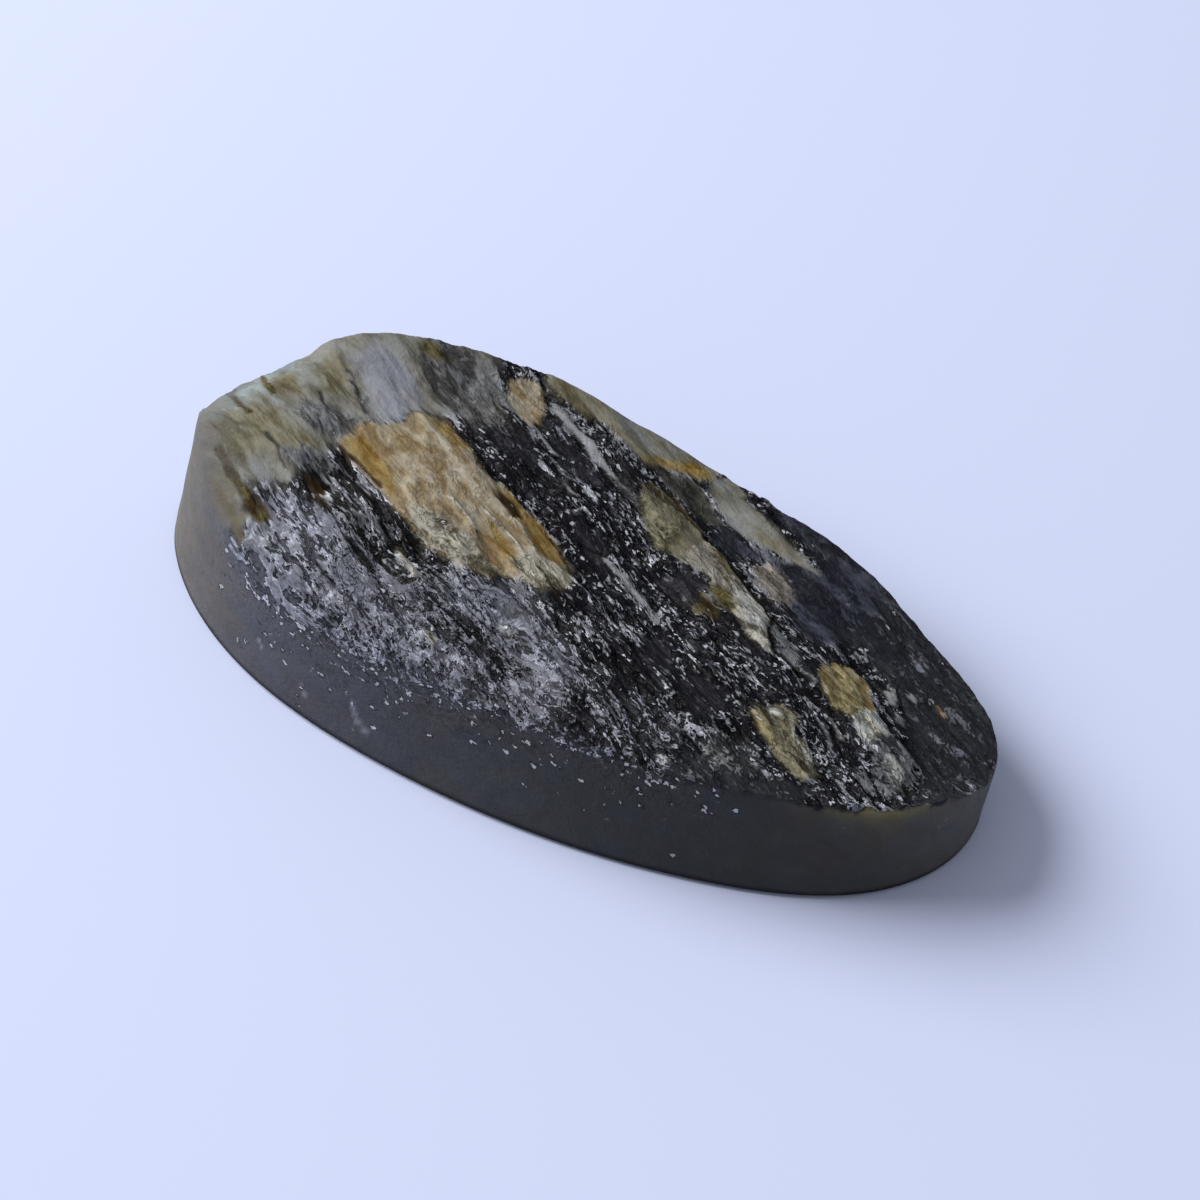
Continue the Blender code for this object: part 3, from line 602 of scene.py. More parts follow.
class Slab:
    """The stone's surface, as functions of its parameters."""

    def __init__(self, shape, colours):
        self.shape = shape
        self.colours = colours

    def tone_row(self, name):
        """A tone's numbers in one row: its two colours, which the user may have changed, then its
        shares and how far it stands up."""
        gap, splinter, *shares = TONES[name]
        gap = getattr(self.colours, name + "_ground", gap)
        splinter = getattr(self.colours, name + "_flecks", splinter)
        return np.array([*gap, *splinter, *shares])

    def along_grain(self, points):
        """Give points in plan as their lengths along the grain and across it, in millimetres."""
        cosine, sine = math.cos(self.shape.grain_angle), math.sin(self.shape.grain_angle)
        return points[:, :2] @ np.array([[cosine, -sine], [sine, cosine]]) / MM

    def broken_relief(self, points):
        """The solid's own relief: swells and lumps of noise drawn out along the grain, ridges cut
        into treads and risers, and the ledges and pits."""
        grain = self.along_grain(points)
        relief = layered(grain, (SWELLS, LUMPS))
        size, height, seed = RIDGES
        relief += height * stepped(noise(grain / size, seed), RIDGE_STEP, RISER_STEEPNESS)
        for start, end, drop in LEDGES:
            right, beyond = beside_line(points, start, end)
            side = np.clip(right / LEDGE_WIDTH, -1, 1)
            relief += drop / 2 * side * np.exp(-(((np.abs(right) + beyond) / LEDGE_FADE) ** 2))
        for middle, length, width, depth in PITS:
            offset = (grain - self.along_grain(np.array([middle]) * MM)) / (length, width)
            relief -= depth * np.exp(-np.sum(offset**2, axis=1))
        return relief * MM

    def wandering_grain(self, points):
        """Lengths along and across the grain, in millimetres, with the grain's slow bends and its
        small ones taken off as noise."""
        grain = self.along_grain(points)
        grain[:, 1] += layered(grain, GRAIN_BENDS)
        return grain

    def splinters(self, points):
        """The fine relief, from about -1 to 1: noise of three sizes along the wandering grain, each
        cut into steps."""
        grain = self.wandering_grain(points)
        relief = np.zeros(len(points))
        for size, height, steepness, seed in SPLINTERS:
            relief += height * stepped(noise(grain / size, seed), SPLINTER_STEP, steepness)
        return relief / sum(height for size, height, steepness, seed in SPLINTERS) * 2

    def tones(self, points):
        """Every point's tone, as a row of numbers in the order of TONES: the patches and streaks laid
        one over the other on charcoal. A patch's edge is fringed, because the place it is read at
        is moved along the grain by noise that changes quickly across it."""
        grain = self.wandering_grain(points)
        cosine, sine = math.cos(self.shape.grain_angle), math.sin(self.shape.grain_angle)
        places = points[:, :2] / MM + layered(grain, FRINGE)[:, None] * (cosine, sine)
        places = places + layered(grain, RAGGED_EDGE)[:, None] * (-sine, cosine)
        mixed = np.tile(self.tone_row("charcoal"), (len(points), 1))
        for tone, edge, outline in PATCHES:
            near = within(places, outline, edge)
            outside = outline_distance(places[near], outline, closed=True)
            mixed[near] += (self.tone_row(tone) - mixed[near]) * smooth_step(0.5 - outside / edge)[:, None]
            if edge <= CRISP_EDGE:
                line = LINE_SHADE * np.exp(-(((outside - LINE_PLACE) / LINE_WIDTH) ** 2))
                mixed[near, COLOURS] *= 1 - line[:, None]
        for tone, width, line in STREAKS:
            near, inside = along_mark(places, line, width)
            mixed[near] += (self.tone_row(tone) - mixed[near]) * inside[:, None]
        return mixed

    def wall_normal(self, turn):
        """The oval's outward direction in plan."""
        normal = np.column_stack([np.cos(turn), np.sin(turn)]) * (self.shape.base_width, self.shape.base_length)
        return normal / np.linalg.norm(normal, axis=1, keepdims=True)

    def wall_point(self, turn, height):
        """The ground wall: the base oval moved out by the foot's offset, and in by the lean at a height."""
        offset = round_the_oval(FOOT_OFFSETS, turn) - np.tan(round_the_oval(WALL_LEANS, turn)) * height
        radii = np.array([self.shape.base_length, self.shape.base_width]) / 2
        oval = OVAL_CENTRE + np.column_stack([np.cos(turn), np.sin(turn)]) * radii
        return np.column_stack([oval + self.wall_normal(turn) * offset[:, None], height])

    def draw_in(self, points, share):
        """Move points in plan towards the oval's centre, to a share of their way out."""
        points[:, :2] = OVAL_CENTRE + (points[:, :2] - OVAL_CENTRE) * share[:, None]

    def crown_height(self, points):
        """The height of the split top, if it ran on to the wall without rounding."""
        shape = self.shape
        x, y = points[:, 0], points[:, 1]
        past_line = beside_line(points, *CORNER_LINE)[0]
        corner = shape.corner_fall * (past_line - np.hypot(past_line, shape.corner_bend)) / 2
        return shape.crown_height - shape.crown_fall * x - shape.crown_twist * x * y + corner

    def surface(self, turn, run):
        """The whole stone as one closed surface of two parameters.

        turn goes round the oval. run goes from the middle of the top out to the rim, down the wall,
        over the edge flat and in under the base. On the top the height is the wall's own, raised
        to the crown by the root of one minus a power of the run, and the relief is added to it,
        the splinters as high as the tone there is broken. The highest peaks are bent over below
        the solid's own top.
        """
        shape = self.shape
        smooth_rim = round_the_oval(WALL_HEIGHTS, turn)
        smooth = self.wall_point(turn, smooth_rim)
        rim = smooth_rim + self.relief(smooth)
        down = np.clip(run - RIM, 0, 1)
        height = rim + (shape.edge_flat - rim) * down
        points = self.wall_point(turn, height)
        fade = smooth_step(down * DENT_FADE) * smooth_step((1 - down) * DENT_FADE)
        points[:, :2] -= self.wall_normal(turn) * (self.wall_dents(turn, rim - height) * fade)[:, None]
        out = np.clip(run, 0, RIM)
        self.draw_in(points, out)
        shoulder = np.sqrt(1 - out**shape.shoulder_roundness)
        top = smooth_rim + (self.crown_height(points) - smooth_rim) * shoulder
        top += self.relief(points)
        points[:, 2] = np.where(run < RIM, top, points[:, 2])
        edge = self.wall_point(turn, np.zeros(len(turn)))
        self.draw_in(edge, np.full(len(turn), 1 - 2 * shape.edge_flat / shape.base_width))
        points += (edge - points) * np.clip(run - WALL_FOOT, 0, 1)[:, None]
        self.draw_in(points, 1 - np.clip(run - BASE_EDGE, 0, 1))
        over = points[:, 2] - (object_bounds()[1][2] - PEAK_BEND)
        points[:, 2] -= np.where(over > 0, over - PEAK_BEND * np.tanh(over / PEAK_BEND), 0)
        return points

    def relief(self, points):
        """The solid's relief, the splinters as high as the tone there is broken, how far the tone
        itself stands up, and the corner's swell."""
        tones = self.tones(points)
        broken = SMOOTH_SPLINTERS + (1 - SMOOTH_SPLINTERS) * tones[:, BROKEN]
        fine = self.splinters(points) * self.shape.splinter_height * broken
        middle, size, height = CORNER_SWELL
        swell = height * np.exp(-np.sum(((points[:, :2] / MM - middle) / size) ** 2, axis=1))
        return self.broken_relief(points) + fine + (tones[:, RAISED] + swell) * MM

    def unrolled(self, turn, depth):
        """Places on the wall laid flat: millimetres round the oval and below the rim."""
        return np.column_stack([turn * self.shape.base_length / 2, depth]) / MM

    def wall_dents(self, turn, depth):
        """How deep the wall is dented at a depth below the rim: small pits, thick under the rim and
        sparse further down, on a faint waviness."""
        arc = self.unrolled(turn, depth)
        pits = smooth_step(layered(arc, WALL_PITS) - WALL_PIT_LEVEL - depth / MM * WALL_PIT_THINNING)
        return (WALL_PIT_DEPTH * pits + layered(arc, WALL_WAVES)) * MM

    def past_rim(self, turn, run, points):
        """How far over the rim points are: down the wall, or less than nothing in on the top."""
        down = round_the_oval(WALL_HEIGHTS, turn) - points[:, 2]
        return np.where(run < RIM, (run - RIM) * self.shape.base_width / 2, np.maximum(down, 0))

    def wall_share(self, turn, past):
        """How far the ground wall's tone has taken over, from 0 on the top to 1 down the wall. It
        starts where the grinding reaches in over the rim, with a ragged edge, and takes a while."""
        ragged = layered(self.unrolled(turn, past), RAGGED_BORDER) * MM
        reach = round_the_oval(GROUND_REACH, turn)
        return smooth_step((past + reach + ragged) / (GROUND_FADE + reach))

    def wall_tones(self, turn, past, front, crumbling):
        """The ground wall's tone at every point, given a tint round the oval that paints light and shade on it
        besides its own colour, and stained under the rim at the thin end, with more splinters where it
        crumbles and darker ones away from the front."""
        wall = np.tile(self.tone_row("wall"), (len(turn), 1))
        # The tints paint light and shade round the wall, as well as the stone's paler colour at the thick end.
        wall[:, GAP] *= np.column_stack([round_the_oval(channel, turn) for channel in WALL_TINTS_AND_LIGHT.T])
        aside = np.abs(np.mod(turn, math.tau) - STAIN_TURN) / STAIN_WIDTH
        stain = np.exp(-(aside**2) - np.maximum(past, 0) / STAIN_DEPTH)
        wall[:, GAP] += (STAIN_COLOUR - wall[:, GAP]) * stain[:, None]
        wall[:, SPLINTER] *= PLAIN_FLECKS + (1 - PLAIN_FLECKS) * front[:, None]
        wall[:, SHARE] += CRUMBLE_SHARE * crumbling
        wall[:, BROKEN] += CRUMBLE_BREAK * crumbling
        return wall

    def add_wall_marks(self, tones, turn, past):
        """Lighten the wall along its marks."""
        step = math.radians(1) * self.shape.base_length / 2 / MM
        places = np.column_stack([np.degrees(np.mod(turn, math.tau)) * step, past / MM])
        for width, line in WALL_MARKS:
            near, inside = along_mark(places, np.array(line) * (step, 1), width)
            tones[near, GAP] *= 1 + WALL_MARK_LIGHT * inside[:, None]

    def drawn_flecks(self, points, past):
        """How far the flecks are drawn out along the grain: least at the rim, more inside it, and most
        of all in the half towards the thick end."""
        inside = DRAWN_INSIDE * smooth_step((-DRAWN_START - past) / (DRAWN_END - DRAWN_START))
        thick_end = smooth_step((-points[:, 0] - THICK_END_START) / THICK_END_FADE)
        return DRAWN_AT_RIM + (1 - DRAWN_AT_RIM) * np.maximum(inside, thick_end)

    def looks(self, turn, run, points):
        """What the finish reads at every vertex. The wall's tone takes over from the top's at the rim,
        the colour of its splinters last, so that no bright fringe shows."""
        past = self.past_rim(turn, run, points)
        ground = self.wall_share(turn, past)
        front = smooth_step((np.sin(-turn) - CRUMBLE_START) * CRUMBLE_RISE)
        crumbling = front * np.exp(-np.maximum(past, 0) / self.shape.crumble_depth)
        tones = self.tones(points)
        sparks = BREAK_SPARKS * tones[:, BROKEN] ** 2 * (1 - ground) + CRUMBLE_SPARKS * crumbling * (past > 0)
        share = np.repeat(ground[:, None], tones.shape[1], axis=1)
        share[:, SPLINTER] **= 4
        tones += (self.wall_tones(turn, past, front, crumbling) - tones) * share
        self.add_wall_marks(tones, turn, past)
        height = points[:, 2:] / MM
        opaque = np.ones_like(height)
        return {
            "grain": np.hstack([self.wandering_grain(points), height]),
            "gap_colour": np.hstack([tones[:, GAP], opaque]),
            "splinter_colour": np.hstack([tones[:, SPLINTER], opaque]),
            "threshold": 0.5 + 0.30 * (0.5 - tones[:, SHARE]),
            "softness": tones[:, SOFTNESS],
            "broken": tones[:, BROKEN],
            "lift": self.splinters(points) * (1 - ground),
            "sparks": sparks + LONE_SPARKS,
            "drawn": self.drawn_flecks(points, past),
        }

    def parameters(self):
        """The stone's grid: the turn and run of every vertex, and the corners of every face.

        The lid is a square grid drawn to a disc, each of x and y shrinking by the root of one minus
        half the square of the other, and turned so that its lines follow the grain. Rings go down
        the wall from its border, closer together near the rim, then the edge flat and one middle
        point.
        """
        shape = self.shape
        along, across, rings = shape.along_quads, shape.across_quads, shape.wall_rings
        u, v = np.meshgrid(np.linspace(-1, 1, along + 1), np.linspace(-1, 1, across + 1), indexing="ij")
        x, y = (u * np.sqrt(1 - v * v / 2)).ravel(), (v * np.sqrt(1 - u * u / 2)).ravel()
        grain = math.atan2(
            math.sin(shape.grain_angle) / shape.base_width,
            math.cos(shape.grain_angle) / shape.base_length,
        )
        index = np.arange(x.size).reshape(u.shape)
        border = np.concatenate([index[:-1, 0], index[-1, :-1], index[:0:-1, -1], index[0, :0:-1]])
        turn = np.arctan2(y, x) + grain
        run = np.minimum(np.hypot(x, y), RIM)
        run[border] = RIM
        depths = np.append((np.arange(1, rings + 1) / rings) ** shape.ring_crowding, BASE_EDGE - RIM)
        turn = np.concatenate([turn, np.tile(turn[border], len(depths)), [0]])
        run = np.concatenate([run, np.repeat(RIM + depths, len(border)), [BASE_MIDDLE]])
        loops = np.vstack([border, x.size + np.arange(len(depths) * len(border)).reshape(-1, len(border))])
        after = np.roll(loops, -1, axis=1)
        lid = np.stack([index[:-1, :-1], index[1:, :-1], index[1:, 1:], index[:-1, 1:]], axis=-1)
        wall = np.stack([loops[1:], after[1:], after[:-1], loops[:-1]], axis=-1)
        quads = np.concatenate([lid.reshape(-1, 4), wall.reshape(-1, 4)])
        middle = np.full(len(border), len(turn) - 1)
        return turn, run, quads, np.column_stack([after[-1], loops[-1], middle])


def mesh_from(name, points, quads, triangles):
    """Put points, quads and triangles into a new mesh."""
    mesh = bpy.data.meshes.new(name)
    corners = np.concatenate([quads.ravel(), triangles.ravel()])
    sizes = np.repeat([4, 3], [len(quads), len(triangles)])
    mesh.vertices.add(len(points))
    mesh.vertices.foreach_set("co", points.astype(np.float32).ravel())
    mesh.loops.add(len(corners))
    mesh.loops.foreach_set("vertex_index", corners.astype(np.int32))
    mesh.polygons.add(len(sizes))
    mesh.polygons.foreach_set("loop_start", (np.cumsum(sizes) - sizes).astype(np.int32))
    mesh.update(calc_edges=True)
    mesh.validate()
    return mesh


def number(mesh, name, values):
    """Give every vertex a number, a vector of three or a colour of four."""
    width = values.shape[1] if values.ndim == 2 else 1
    kind, field = {1: ("FLOAT", "value"), 3: ("FLOAT_VECTOR", "vector"), 4: ("FLOAT_COLOR", "color")}[width]
    mesh.attributes.new(name, kind, "POINT").data.foreach_set(field, values.astype(np.float32).ravel())


def adjustable(kind, **settings):
    """A maker of properties of one kind, that takes a name, a description and a default."""

    def make(name, description, default):
        return kind(name=name, description=description, default=default, **settings)

    return make


number_property = adjustable(FloatProperty)
count_property = adjustable(IntProperty)
length_property = adjustable(FloatProperty, precision=5, unit="LENGTH")
power_property = adjustable(FloatProperty, unit="POWER")
angle_property = adjustable(FloatProperty, subtype="ANGLE")
place_property = adjustable(FloatVectorProperty, precision=5, unit="LENGTH")
tone_property = adjustable(FloatVectorProperty, min=0, max=1, subtype="COLOR")
colour_property = adjustable(FloatVectorProperty, size=4, min=0, max=1, subtype="COLOR")


class SlabShape(bpy.types.PropertyGroup):
    base_length: length_property("Base length", "Length of the oval base", 0.039)
    base_width: length_property("Base width", "Width of the oval base", 0.019)
    edge_flat: length_property("Edge flat", "Small flat along the lower edge", 0.0002)
    crown_height: length_property("Crown height", "Height of the split top over the middle", 0.0065)
    crown_fall: number_property("Crown fall", "How fast the top falls to the thin end", 0.135)
    crown_twist: number_property("Crown twist", "How much faster it falls along the back", 6.0)
    shoulder_roundness: number_property("Shoulder", "How close to the rim the top stays flat", 6.0)
    corner_fall: number_property("Corner fall", "Slope of the broken corner", 0.9)
    corner_bend: length_property("Corner bend", "Width of the bend above the corner", 0.0016)
    grain_angle: angle_property("Grain", "Turn of the grain from the long axis", math.radians(-23))
    splinter_height: length_property("Splinters", "Height of the splinters", 0.00022)
    crumble_depth: length_property("Crumbling", "How far the break crumbles down the wall", 0.0012)
    along_quads: count_property("Faces along", "Faces along the grain", 210)
    across_quads: count_property("Faces across", "Faces across the grain", 330)
    wall_rings: count_property("Wall rings", "Rings of faces down the wall", 23)
    ring_crowding: number_property("Ring crowding", "How much the rings crowd towards the rim", 1.5)


class StoneColours(bpy.types.PropertyGroup):
    """The tones' colours that a user would change, named after the tone and its part."""

    __annotations__ = {
        f"{tone}_{part}": tone_property(
            f"{label} {part}", f"Colour of the {label.lower()}'s {part}", colour
        )
        for tone, label in (
            ("charcoal", "Black stone"),
            ("grey", "Grey stone"),
            ("ochre", "Ochre patch"),
            ("gold", "Golden edge"),
            ("drab", "Smooth thick end"),
            ("vein", "Pale vein"),
            ("wall", "Wall"),
        )
        for part, colour in zip(("ground", "flecks"), TONES[tone])
    }


class Studio(bpy.types.PropertyGroup):
    floor_colour: colour_property("Floor", "Colour of the floor", (0.60, 0.65, 0.85, 1.0))
    sky_colour: colour_property("Sky", "Colour of the soft light from all round", (0.9, 0.93, 1.0, 1.0))
    sky_strength: number_property("Sky strength", "Strength of the light from all round", 0.40)
    key_power: power_property("Key power", "Power of the soft box", 3.75)
    key_size: length_property("Key size", "Width of the soft box", 0.40)
    key_place: place_property("Key place", "Where the soft box stands", (-0.41, -0.055, 0.33))
    camera_target: place_property("Camera target", "The point that it looks at", (-0.00020, 0.00331, 0.0))
    camera_distance: length_property("Camera distance", "How far it stands from that point", 0.10306)
    camera_azimuth: angle_property("Camera azimuth", "How far round to the right it is", math.radians(31.88))
    camera_elevation: angle_property("Camera elevation", "How far above the floor it stands", math.radians(46))
    lens: number_property("Lens", "Focal length in millimetres on a 36 mm sensor", 72.0)


class Value:
    """A number that varies over a surface. An expression on it adds Math nodes."""

    def __init__(self, finish, socket):
        self.finish = finish
        self.socket = socket

    def maths(self, operation, first, second):
        return self.finish.node("ShaderNodeMath", {"operation": operation}, {0: first, 1: second}, 0)

    def __add__(self, other):
        return self.maths("ADD", self, other)

    def __radd__(self, other):
        return self.maths("ADD", other, self)

    def __sub__(self, other):
        return self.maths("SUBTRACT", self, other)

    def __rsub__(self, other):
        return self.maths("SUBTRACT", other, self)

    def __mul__(self, other):
        return self.maths("MULTIPLY", self, other)

    def __rmul__(self, other):
        return self.maths("MULTIPLY", other, self)


class Finish:
    """A material as it is put together, round one shader."""

    def __init__(self, name):
        self.material = bpy.data.materials.new(name)
        self.material.use_nodes = True
        self.tree = self.material.node_tree
        self.shader = self.tree.nodes["Principled BSDF"]

    def node(self, kind, settings, inputs, output):
        """Add a node: its type, its settings, the values or links of its sockets, and the output
        that is wanted of it."""
        node = self.tree.nodes.new(kind)
        for name, setting in settings.items():
            setattr(node, name, setting)
        self.feed(node, inputs)
        return Value(self, node.outputs[output])

    def feed(self, node, inputs):
        """Link what changes over the surface to a node's sockets, and set the rest on them."""
        for name, value in inputs.items():
            if isinstance(value, Value):
                self.tree.links.new(value.socket, node.inputs[name])
            else:
                node.inputs[name].default_value = value

    def attribute(self, name, output="Fac"):
        return self.node("ShaderNodeAttribute", {"attribute_name": name}, {}, output)

    def vectors(self, operation, inputs):
        """Vector maths on places or colours."""
        return self.node("ShaderNodeVectorMath", {"operation": operation}, inputs, "Vector")

    def stretched(self, places, size):
        """Places divided by a size along each axis."""
        return self.vectors("MULTIPLY", {0: places, 1: tuple(1 / length for length in size)})

    def shaded(self, colour, amount):
        """A colour made lighter or darker by an amount."""
        return self.vectors("SCALE", {0: colour, "Scale": amount})

    def speckle(self, places, size, detail=2.0, roughness=0.55, distortion=0.0):
        """Noise from 0 to 1 with grains of a size along each axis."""
        inputs = {
            "Vector": self.stretched(places, size), "Scale": 1.0, "Detail": detail, "Roughness": roughness,
            "Distortion": distortion,
        }
        return self.node("ShaderNodeTexNoise", {}, inputs, 0)

    def rising(self, value, low, high):
        """A smooth rise from 0 where the value is low to 1 where it is high."""
        inputs = {"Value": value, "From Min": low, "From Max": high}
        return self.node("ShaderNodeMapRange", {"interpolation_type": "SMOOTHSTEP"}, inputs, "Result")

    def band(self, value, low, high, wane, end):
        """A smooth rise from low to high, and a fall again from wane to end."""
        return self.rising(value, low, high) * (1 - self.rising(value, wane, end))

    def blend(self, share, first, second, way="MIX"):
        """Mix two colours, the second by a share."""
        settings = {"data_type": "RGBA", "blend_type": way}
        return self.node("ShaderNodeMix", settings, {0: share, 6: first, 7: second}, 2)


class StoneFinish(Finish):
    """The stone's finish. The tones come as attributes of the mesh, and the flecks are noise drawn out
    along the grain and cut where it passes the tone's threshold."""

    def __init__(self):
        super().__init__("labradorite")
        self.grain = self.attribute("grain", "Vector")
        self.splinter = self.attribute("splinter_colour", "Color")
        self.threshold = self.attribute("threshold")
        self.broken = self.attribute("broken")
        self.drawn = self.attribute("drawn") * 0.85
        wobble = {"Vector": self.stretched(self.grain, WOBBLE), "Scale": 1.0, "Detail": 2.0}
        self.wobble = self.shaded(self.node("ShaderNodeTexNoise", {}, wobble, "Color"), 1.6)
        self.cluster = self.speckle(self.grain, CLUSTER, distortion=0.3) - 0.5
        self.glow = self.rising(self.speckle(self.grain, GLOW, detail=1.0, distortion=0.3), 0.32, 0.72)
        self.fine = self.rising(self.speckle(self.grain, FINE_GRAIN, detail=1.0), 0.25, 0.75)
        draws = self.node("ShaderNodeTexVoronoi", {}, {"Vector": self.wobbled(CHIP), "Scale": 1.0}, "Color")
        self.chip = self.node("ShaderNodeSeparateColor", {}, {0: draws}, "Red") - 0.5
        self.put_together()

    def put_together(self):
        """Work out the colour, with its painted shade and highlights, the roughness and the relief, and
        feed them to the shader.
        """
        softness = self.attribute("softness")
        low, high = self.threshold - softness, self.threshold + softness
        fleck = self.flecks()
        mask = self.rising(fleck, low, high)
        # Painted shade in the gap right round each splinter, as if it stood up in relief.
        splinter_rim_shade = self.rising(fleck, low - 0.07, low) * (1 - mask)
        # Painted highlight along the crest of each splinter, where the stone is broken.
        crest_highlight = mask * (1 - self.rising(fleck, high, high + 0.06)) * self.rising(self.broken, 0.3, 0.8)
        lit_thread, seam_shadow = self.curls()
        spark_glint, shadow = self.sparks()
        colour = self.blend(mask, self.gap_colour(splinter_rim_shade), self.splinter_colour(crest_highlight))
        # Painted shadow along the seams, then the threads of splinters brightened as lit edges.
        colour = self.shaded(colour, 1.0 - seam_shadow * 0.6)
        colour = self.blend(lit_thread * 0.8, colour, self.shaded(self.splinter, 0.8 + 0.7 * self.glow))
        # Painted shadow round the sparks, then their painted glints.
        colour = self.shaded(colour, 1.0 - shadow * 0.55)
        colour = self.tinted_and_foot_shaded(self.blend(spark_glint, colour, SPARK_GLINT_COLOUR))
        height = mask * self.broken * 0.6 + fleck + self.fine * 0.12 + spark_glint * 0.7
        height = height + self.chip * self.broken * 0.3 + lit_thread * 0.4 - seam_shadow * 0.5
        bump = {"Strength": 1.0, "Distance": BUMP_DEPTH, "Height": height}
        self.feed(self.shader, {
            "Base Color": colour,
            "Roughness": 0.62 - self.broken * 0.22 + mask * 0.12,
            "Specular IOR Level": 0.08,
            "Normal": self.node("ShaderNodeBump", {}, bump, "Normal"),
        })

    def wobbled(self, size):
        """Places divided by a size, and moved about so that cells on them look torn."""
        return self.vectors("ADD", {0: self.stretched(self.grain, size), 1: self.wobble})

    def flecks(self):
        """The noise that is a splinter where it passes the threshold: long and short flecks, the
        relief's own splinters, paler where the relief stands up and darker in its hollows, partly as
        painted shade, clusters, clouds on smooth stone, and a chance of each chip's own."""
        smooth = 1.0 - self.broken
        long_fleck = self.speckle(self.grain, LONG_FLECK, detail=1.5, roughness=0.5, distortion=0.5)
        short_fleck = self.speckle(self.grain, SHORT_FLECK, detail=1.0, roughness=0.5, distortion=0.8)
        cloud = self.speckle(self.grain, CLOUD, detail=4.0, roughness=0.65) - 0.5
        fleck = long_fleck * self.drawn + short_fleck * (1 - self.drawn) - 0.5
        # The relief's lift: pale splinters on its raised parts, and painted shade in its hollows.
        fleck = fleck * (0.08 + 0.87 * self.broken) + self.attribute("lift") * self.broken * 0.09
        fleck = fleck + self.cluster * (1.0 - self.broken * 0.45) + 0.5
        return fleck + cloud * smooth * 0.6 + self.chip * self.broken * 0.10

    def curls(self):
        """Curled threads of pale splinters, brightened as lit edges, and the dark seams beside them, a
        painted shadow: two bands of one noise.
        """
        curl = self.speckle(self.grain, CURL, distortion=1.0)
        short = self.speckle(self.grain, CURL_LENGTH, detail=1.0) + self.cluster * 0.6
        short = self.rising(short, self.threshold - 0.10, self.threshold + 0.04)
        curled = self.broken * (1.0 - 0.9 * self.rising(self.drawn, 0.60, 0.80))
        lit_thread = self.band(curl, 0.45, 0.49, 0.51, 0.55) * short * curled
        return lit_thread, self.band(curl, 0.53, 0.57, 0.60, 0.65) * curled

    def splinter_colour(self, crest_highlight):
        """Splinters, with a painted highlight along their crests where the stone is broken, and even
        where it isn't.
        """
        bright = self.glow * (0.40 + crest_highlight * 1.3) * 1.2 + 0.35 + 0.35 * self.fine + self.chip * 0.3
        even = 0.94 + 0.08 * self.fine + crest_highlight * 0.06
        return self.shaded(self.splinter, self.broken * bright * 0.85 + (1.0 - self.broken) * even)

    def gap_colour(self, splinter_rim_shade):
        """Gaps, uneven, with painted shade right round a splinter."""
        uneven = 1.0 - self.broken * 0.4 + 0.8 * self.broken * self.fine
        uneven = uneven + self.cluster * (1.0 - self.broken) * 0.5
        return self.shaded(self.attribute("gap_colour", "Color"), uneven * (1 - 0.9 * splinter_rim_shade * self.broken))

    def sparks(self):
        """Small cells, pale chips painted as glints that catch the light, lit where a chance drawn for each
        passes 1 together with the share of sparks there, and the painted shadow round each."""
        cells = {"Vector": self.wobbled(SPARK), "Scale": 1.0, "Randomness": 1.0}
        distance = self.node("ShaderNodeTexVoronoi", {}, cells, "Distance")
        centre = self.node("ShaderNodeTexVoronoi", {}, cells, "Position")
        chance = self.node("ShaderNodeTexWhiteNoise", {}, {"Vector": centre}, "Value")
        lit = self.rising(chance + self.attribute("sparks"), 1.0, 1.03)
        return self.rising(0.42 - distance, 0.0, 0.12) * lit, self.rising(0.66 - distance, 0.0, 0.20) * lit

    def tinted_and_foot_shaded(self, colour):
        """Cooler and warmer areas, most of all on smooth stone, and painted shade in a dark line along the
        foot.
        """
        warmth = self.rising(self.speckle(self.grain, WARMTH), 0.3, 0.7)
        tint = self.blend(warmth, COOL_TINT, WARM_TINT)
        colour = self.blend(1.0 - self.broken * 0.85, colour, self.blend(1.0, colour, tint, "MULTIPLY"))
        # Painted shade: the colour darkens towards the foot, where the wall meets the floor.
        above_foot = self.node("ShaderNodeSeparateXYZ", {}, {0: self.grain}, "Z")
        return self.shaded(colour, 0.20 + 0.80 * self.rising(above_foot, 0.16, 0.50))


def floor_finish(studio):
    finish = Finish("floor")
    places = finish.node("ShaderNodeTexCoord", {}, {}, "Object")
    patchy = finish.rising(finish.speckle(places, (0.05, 0.05, 0.05)), 0.2, 0.8) * 0.015
    colour = finish.blend(patchy, studio.floor_colour, WHITE)
    finish.feed(finish.shader, {"Base Color": colour, "Roughness": 0.85, "Specular IOR Level": 0.0})
    return finish.material


class SLAB_OT_stone(bpy.types.Operator):
    """Build the stone"""

    bl_idname = "slab.stone"
    bl_label = "Stone"

    def execute(self, context):
        slab = Slab(context.scene.slab_shape, context.scene.slab_colours)
        turn, run, quads, triangles = slab.parameters()
        points = slab.surface(turn, run)
        mesh = mesh_from("labradorite_slab", points, quads, triangles)
        for name, values in slab.looks(turn, run, points).items():
            number(mesh, name, values)
        mesh.materials.append(StoneFinish().material)
        stone = bpy.data.objects.new("labradorite_slab", mesh)
        context.scene.collection.objects.link(stone)
        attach(stone, "root")
        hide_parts("slab")
        return {"FINISHED"}


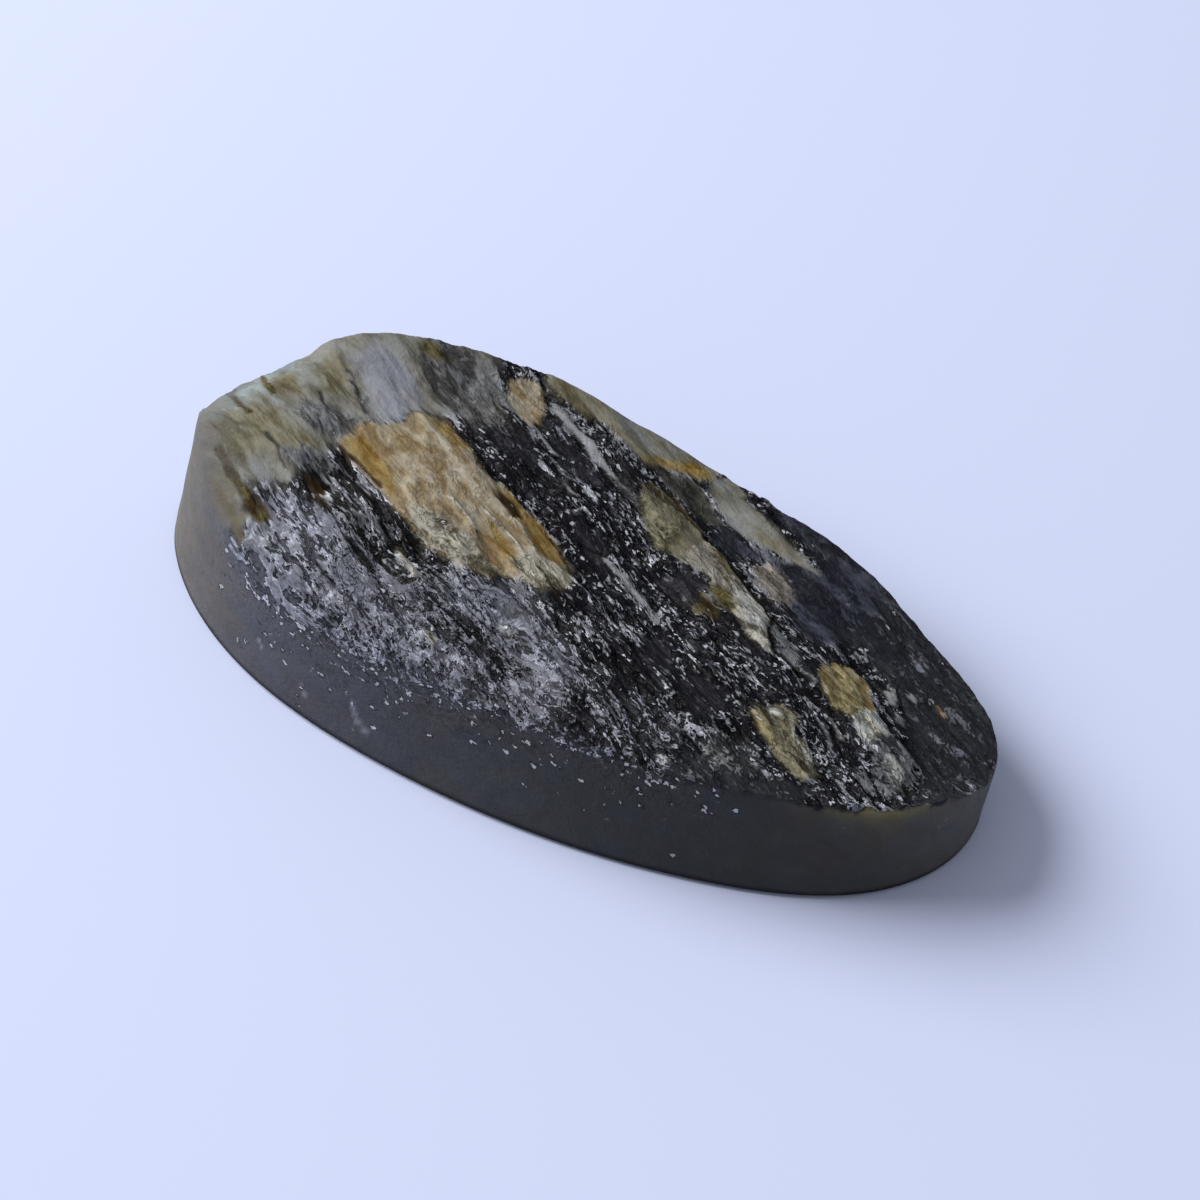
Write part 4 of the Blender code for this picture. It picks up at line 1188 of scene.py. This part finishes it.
class SLAB_OT_studio(bpy.types.Operator):
    """Build the floor, the lights and the camera"""

    bl_idname = "slab.studio"
    bl_label = "Studio"

    def execute(self, context):
        scene, studio = context.scene, context.scene.slab_studio
        bpy.ops.mesh.primitive_plane_add(size=3)
        floor = context.object
        floor.name = "floor"
        floor.data.materials.append(floor_finish(studio))
        floor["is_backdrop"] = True
        world = bpy.data.worlds.new("studio")
        world.use_nodes = True
        background = world.node_tree.nodes["Background"]
        background.inputs["Color"].default_value = studio.sky_colour
        background.inputs["Strength"].default_value = studio.sky_strength
        scene.world = world
        key = bpy.data.objects.new("key", bpy.data.lights.new("key", "AREA"))
        key.data.shape = "DISK"
        key.data.size = studio.key_size
        key.data.energy = studio.key_power
        key.location = studio.key_place
        key.rotation_euler = (-key.location).to_track_quat("-Z", "Y").to_euler()
        scene.collection.objects.link(key)
        camera = bpy.data.objects.new("camera", bpy.data.cameras.new("camera"))
        camera.data.lens = studio.lens
        camera.data.clip_start = 5 * MM
        back = Vector((
            math.sin(studio.camera_azimuth) * math.cos(studio.camera_elevation),
            -math.cos(studio.camera_azimuth) * math.cos(studio.camera_elevation),
            math.sin(studio.camera_elevation),
        ))
        camera.location = Vector(studio.camera_target) + back * studio.camera_distance
        camera.rotation_euler = back.to_track_quat("Z", "Y").to_euler()
        scene.collection.objects.link(camera)
        scene.camera = camera
        scene.view_settings.view_transform = "Standard"
        return {"FINISHED"}


class SLAB_PT_sidebar(bpy.types.Panel):
    """Lists what the add-on builds"""

    bl_idname = "SLAB_PT_sidebar"
    bl_label = "Labradorite slab"
    bl_space_type = "VIEW_3D"
    bl_region_type = "UI"
    bl_category = "Slab"

    def draw(self, context):
        layout = self.layout
        for group in (context.scene.slab_shape, context.scene.slab_colours, context.scene.slab_studio):
            column = layout.column(align=True)
            for name in group.__annotations__:
                column.prop(group, name)
        for operator in (SLAB_OT_stone, SLAB_OT_studio):
            layout.operator(operator.bl_idname)


CLASSES = (SlabShape, StoneColours, Studio, SLAB_OT_stone, SLAB_OT_studio, SLAB_PT_sidebar)


def register():
    for each in CLASSES:
        bpy.utils.register_class(each)
    bpy.types.Scene.slab_shape = PointerProperty(type=SlabShape)
    bpy.types.Scene.slab_colours = PointerProperty(type=StoneColours)
    bpy.types.Scene.slab_studio = PointerProperty(type=Studio)


def unregister():
    del bpy.types.Scene.slab_studio
    del bpy.types.Scene.slab_colours
    del bpy.types.Scene.slab_shape
    for each in reversed(CLASSES):
        bpy.utils.unregister_class(each)


def main():
    """Register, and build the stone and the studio."""
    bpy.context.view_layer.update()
    register()
    bpy.ops.slab.stone()
    bpy.ops.slab.studio()


if __name__ == "__main__":
    main()
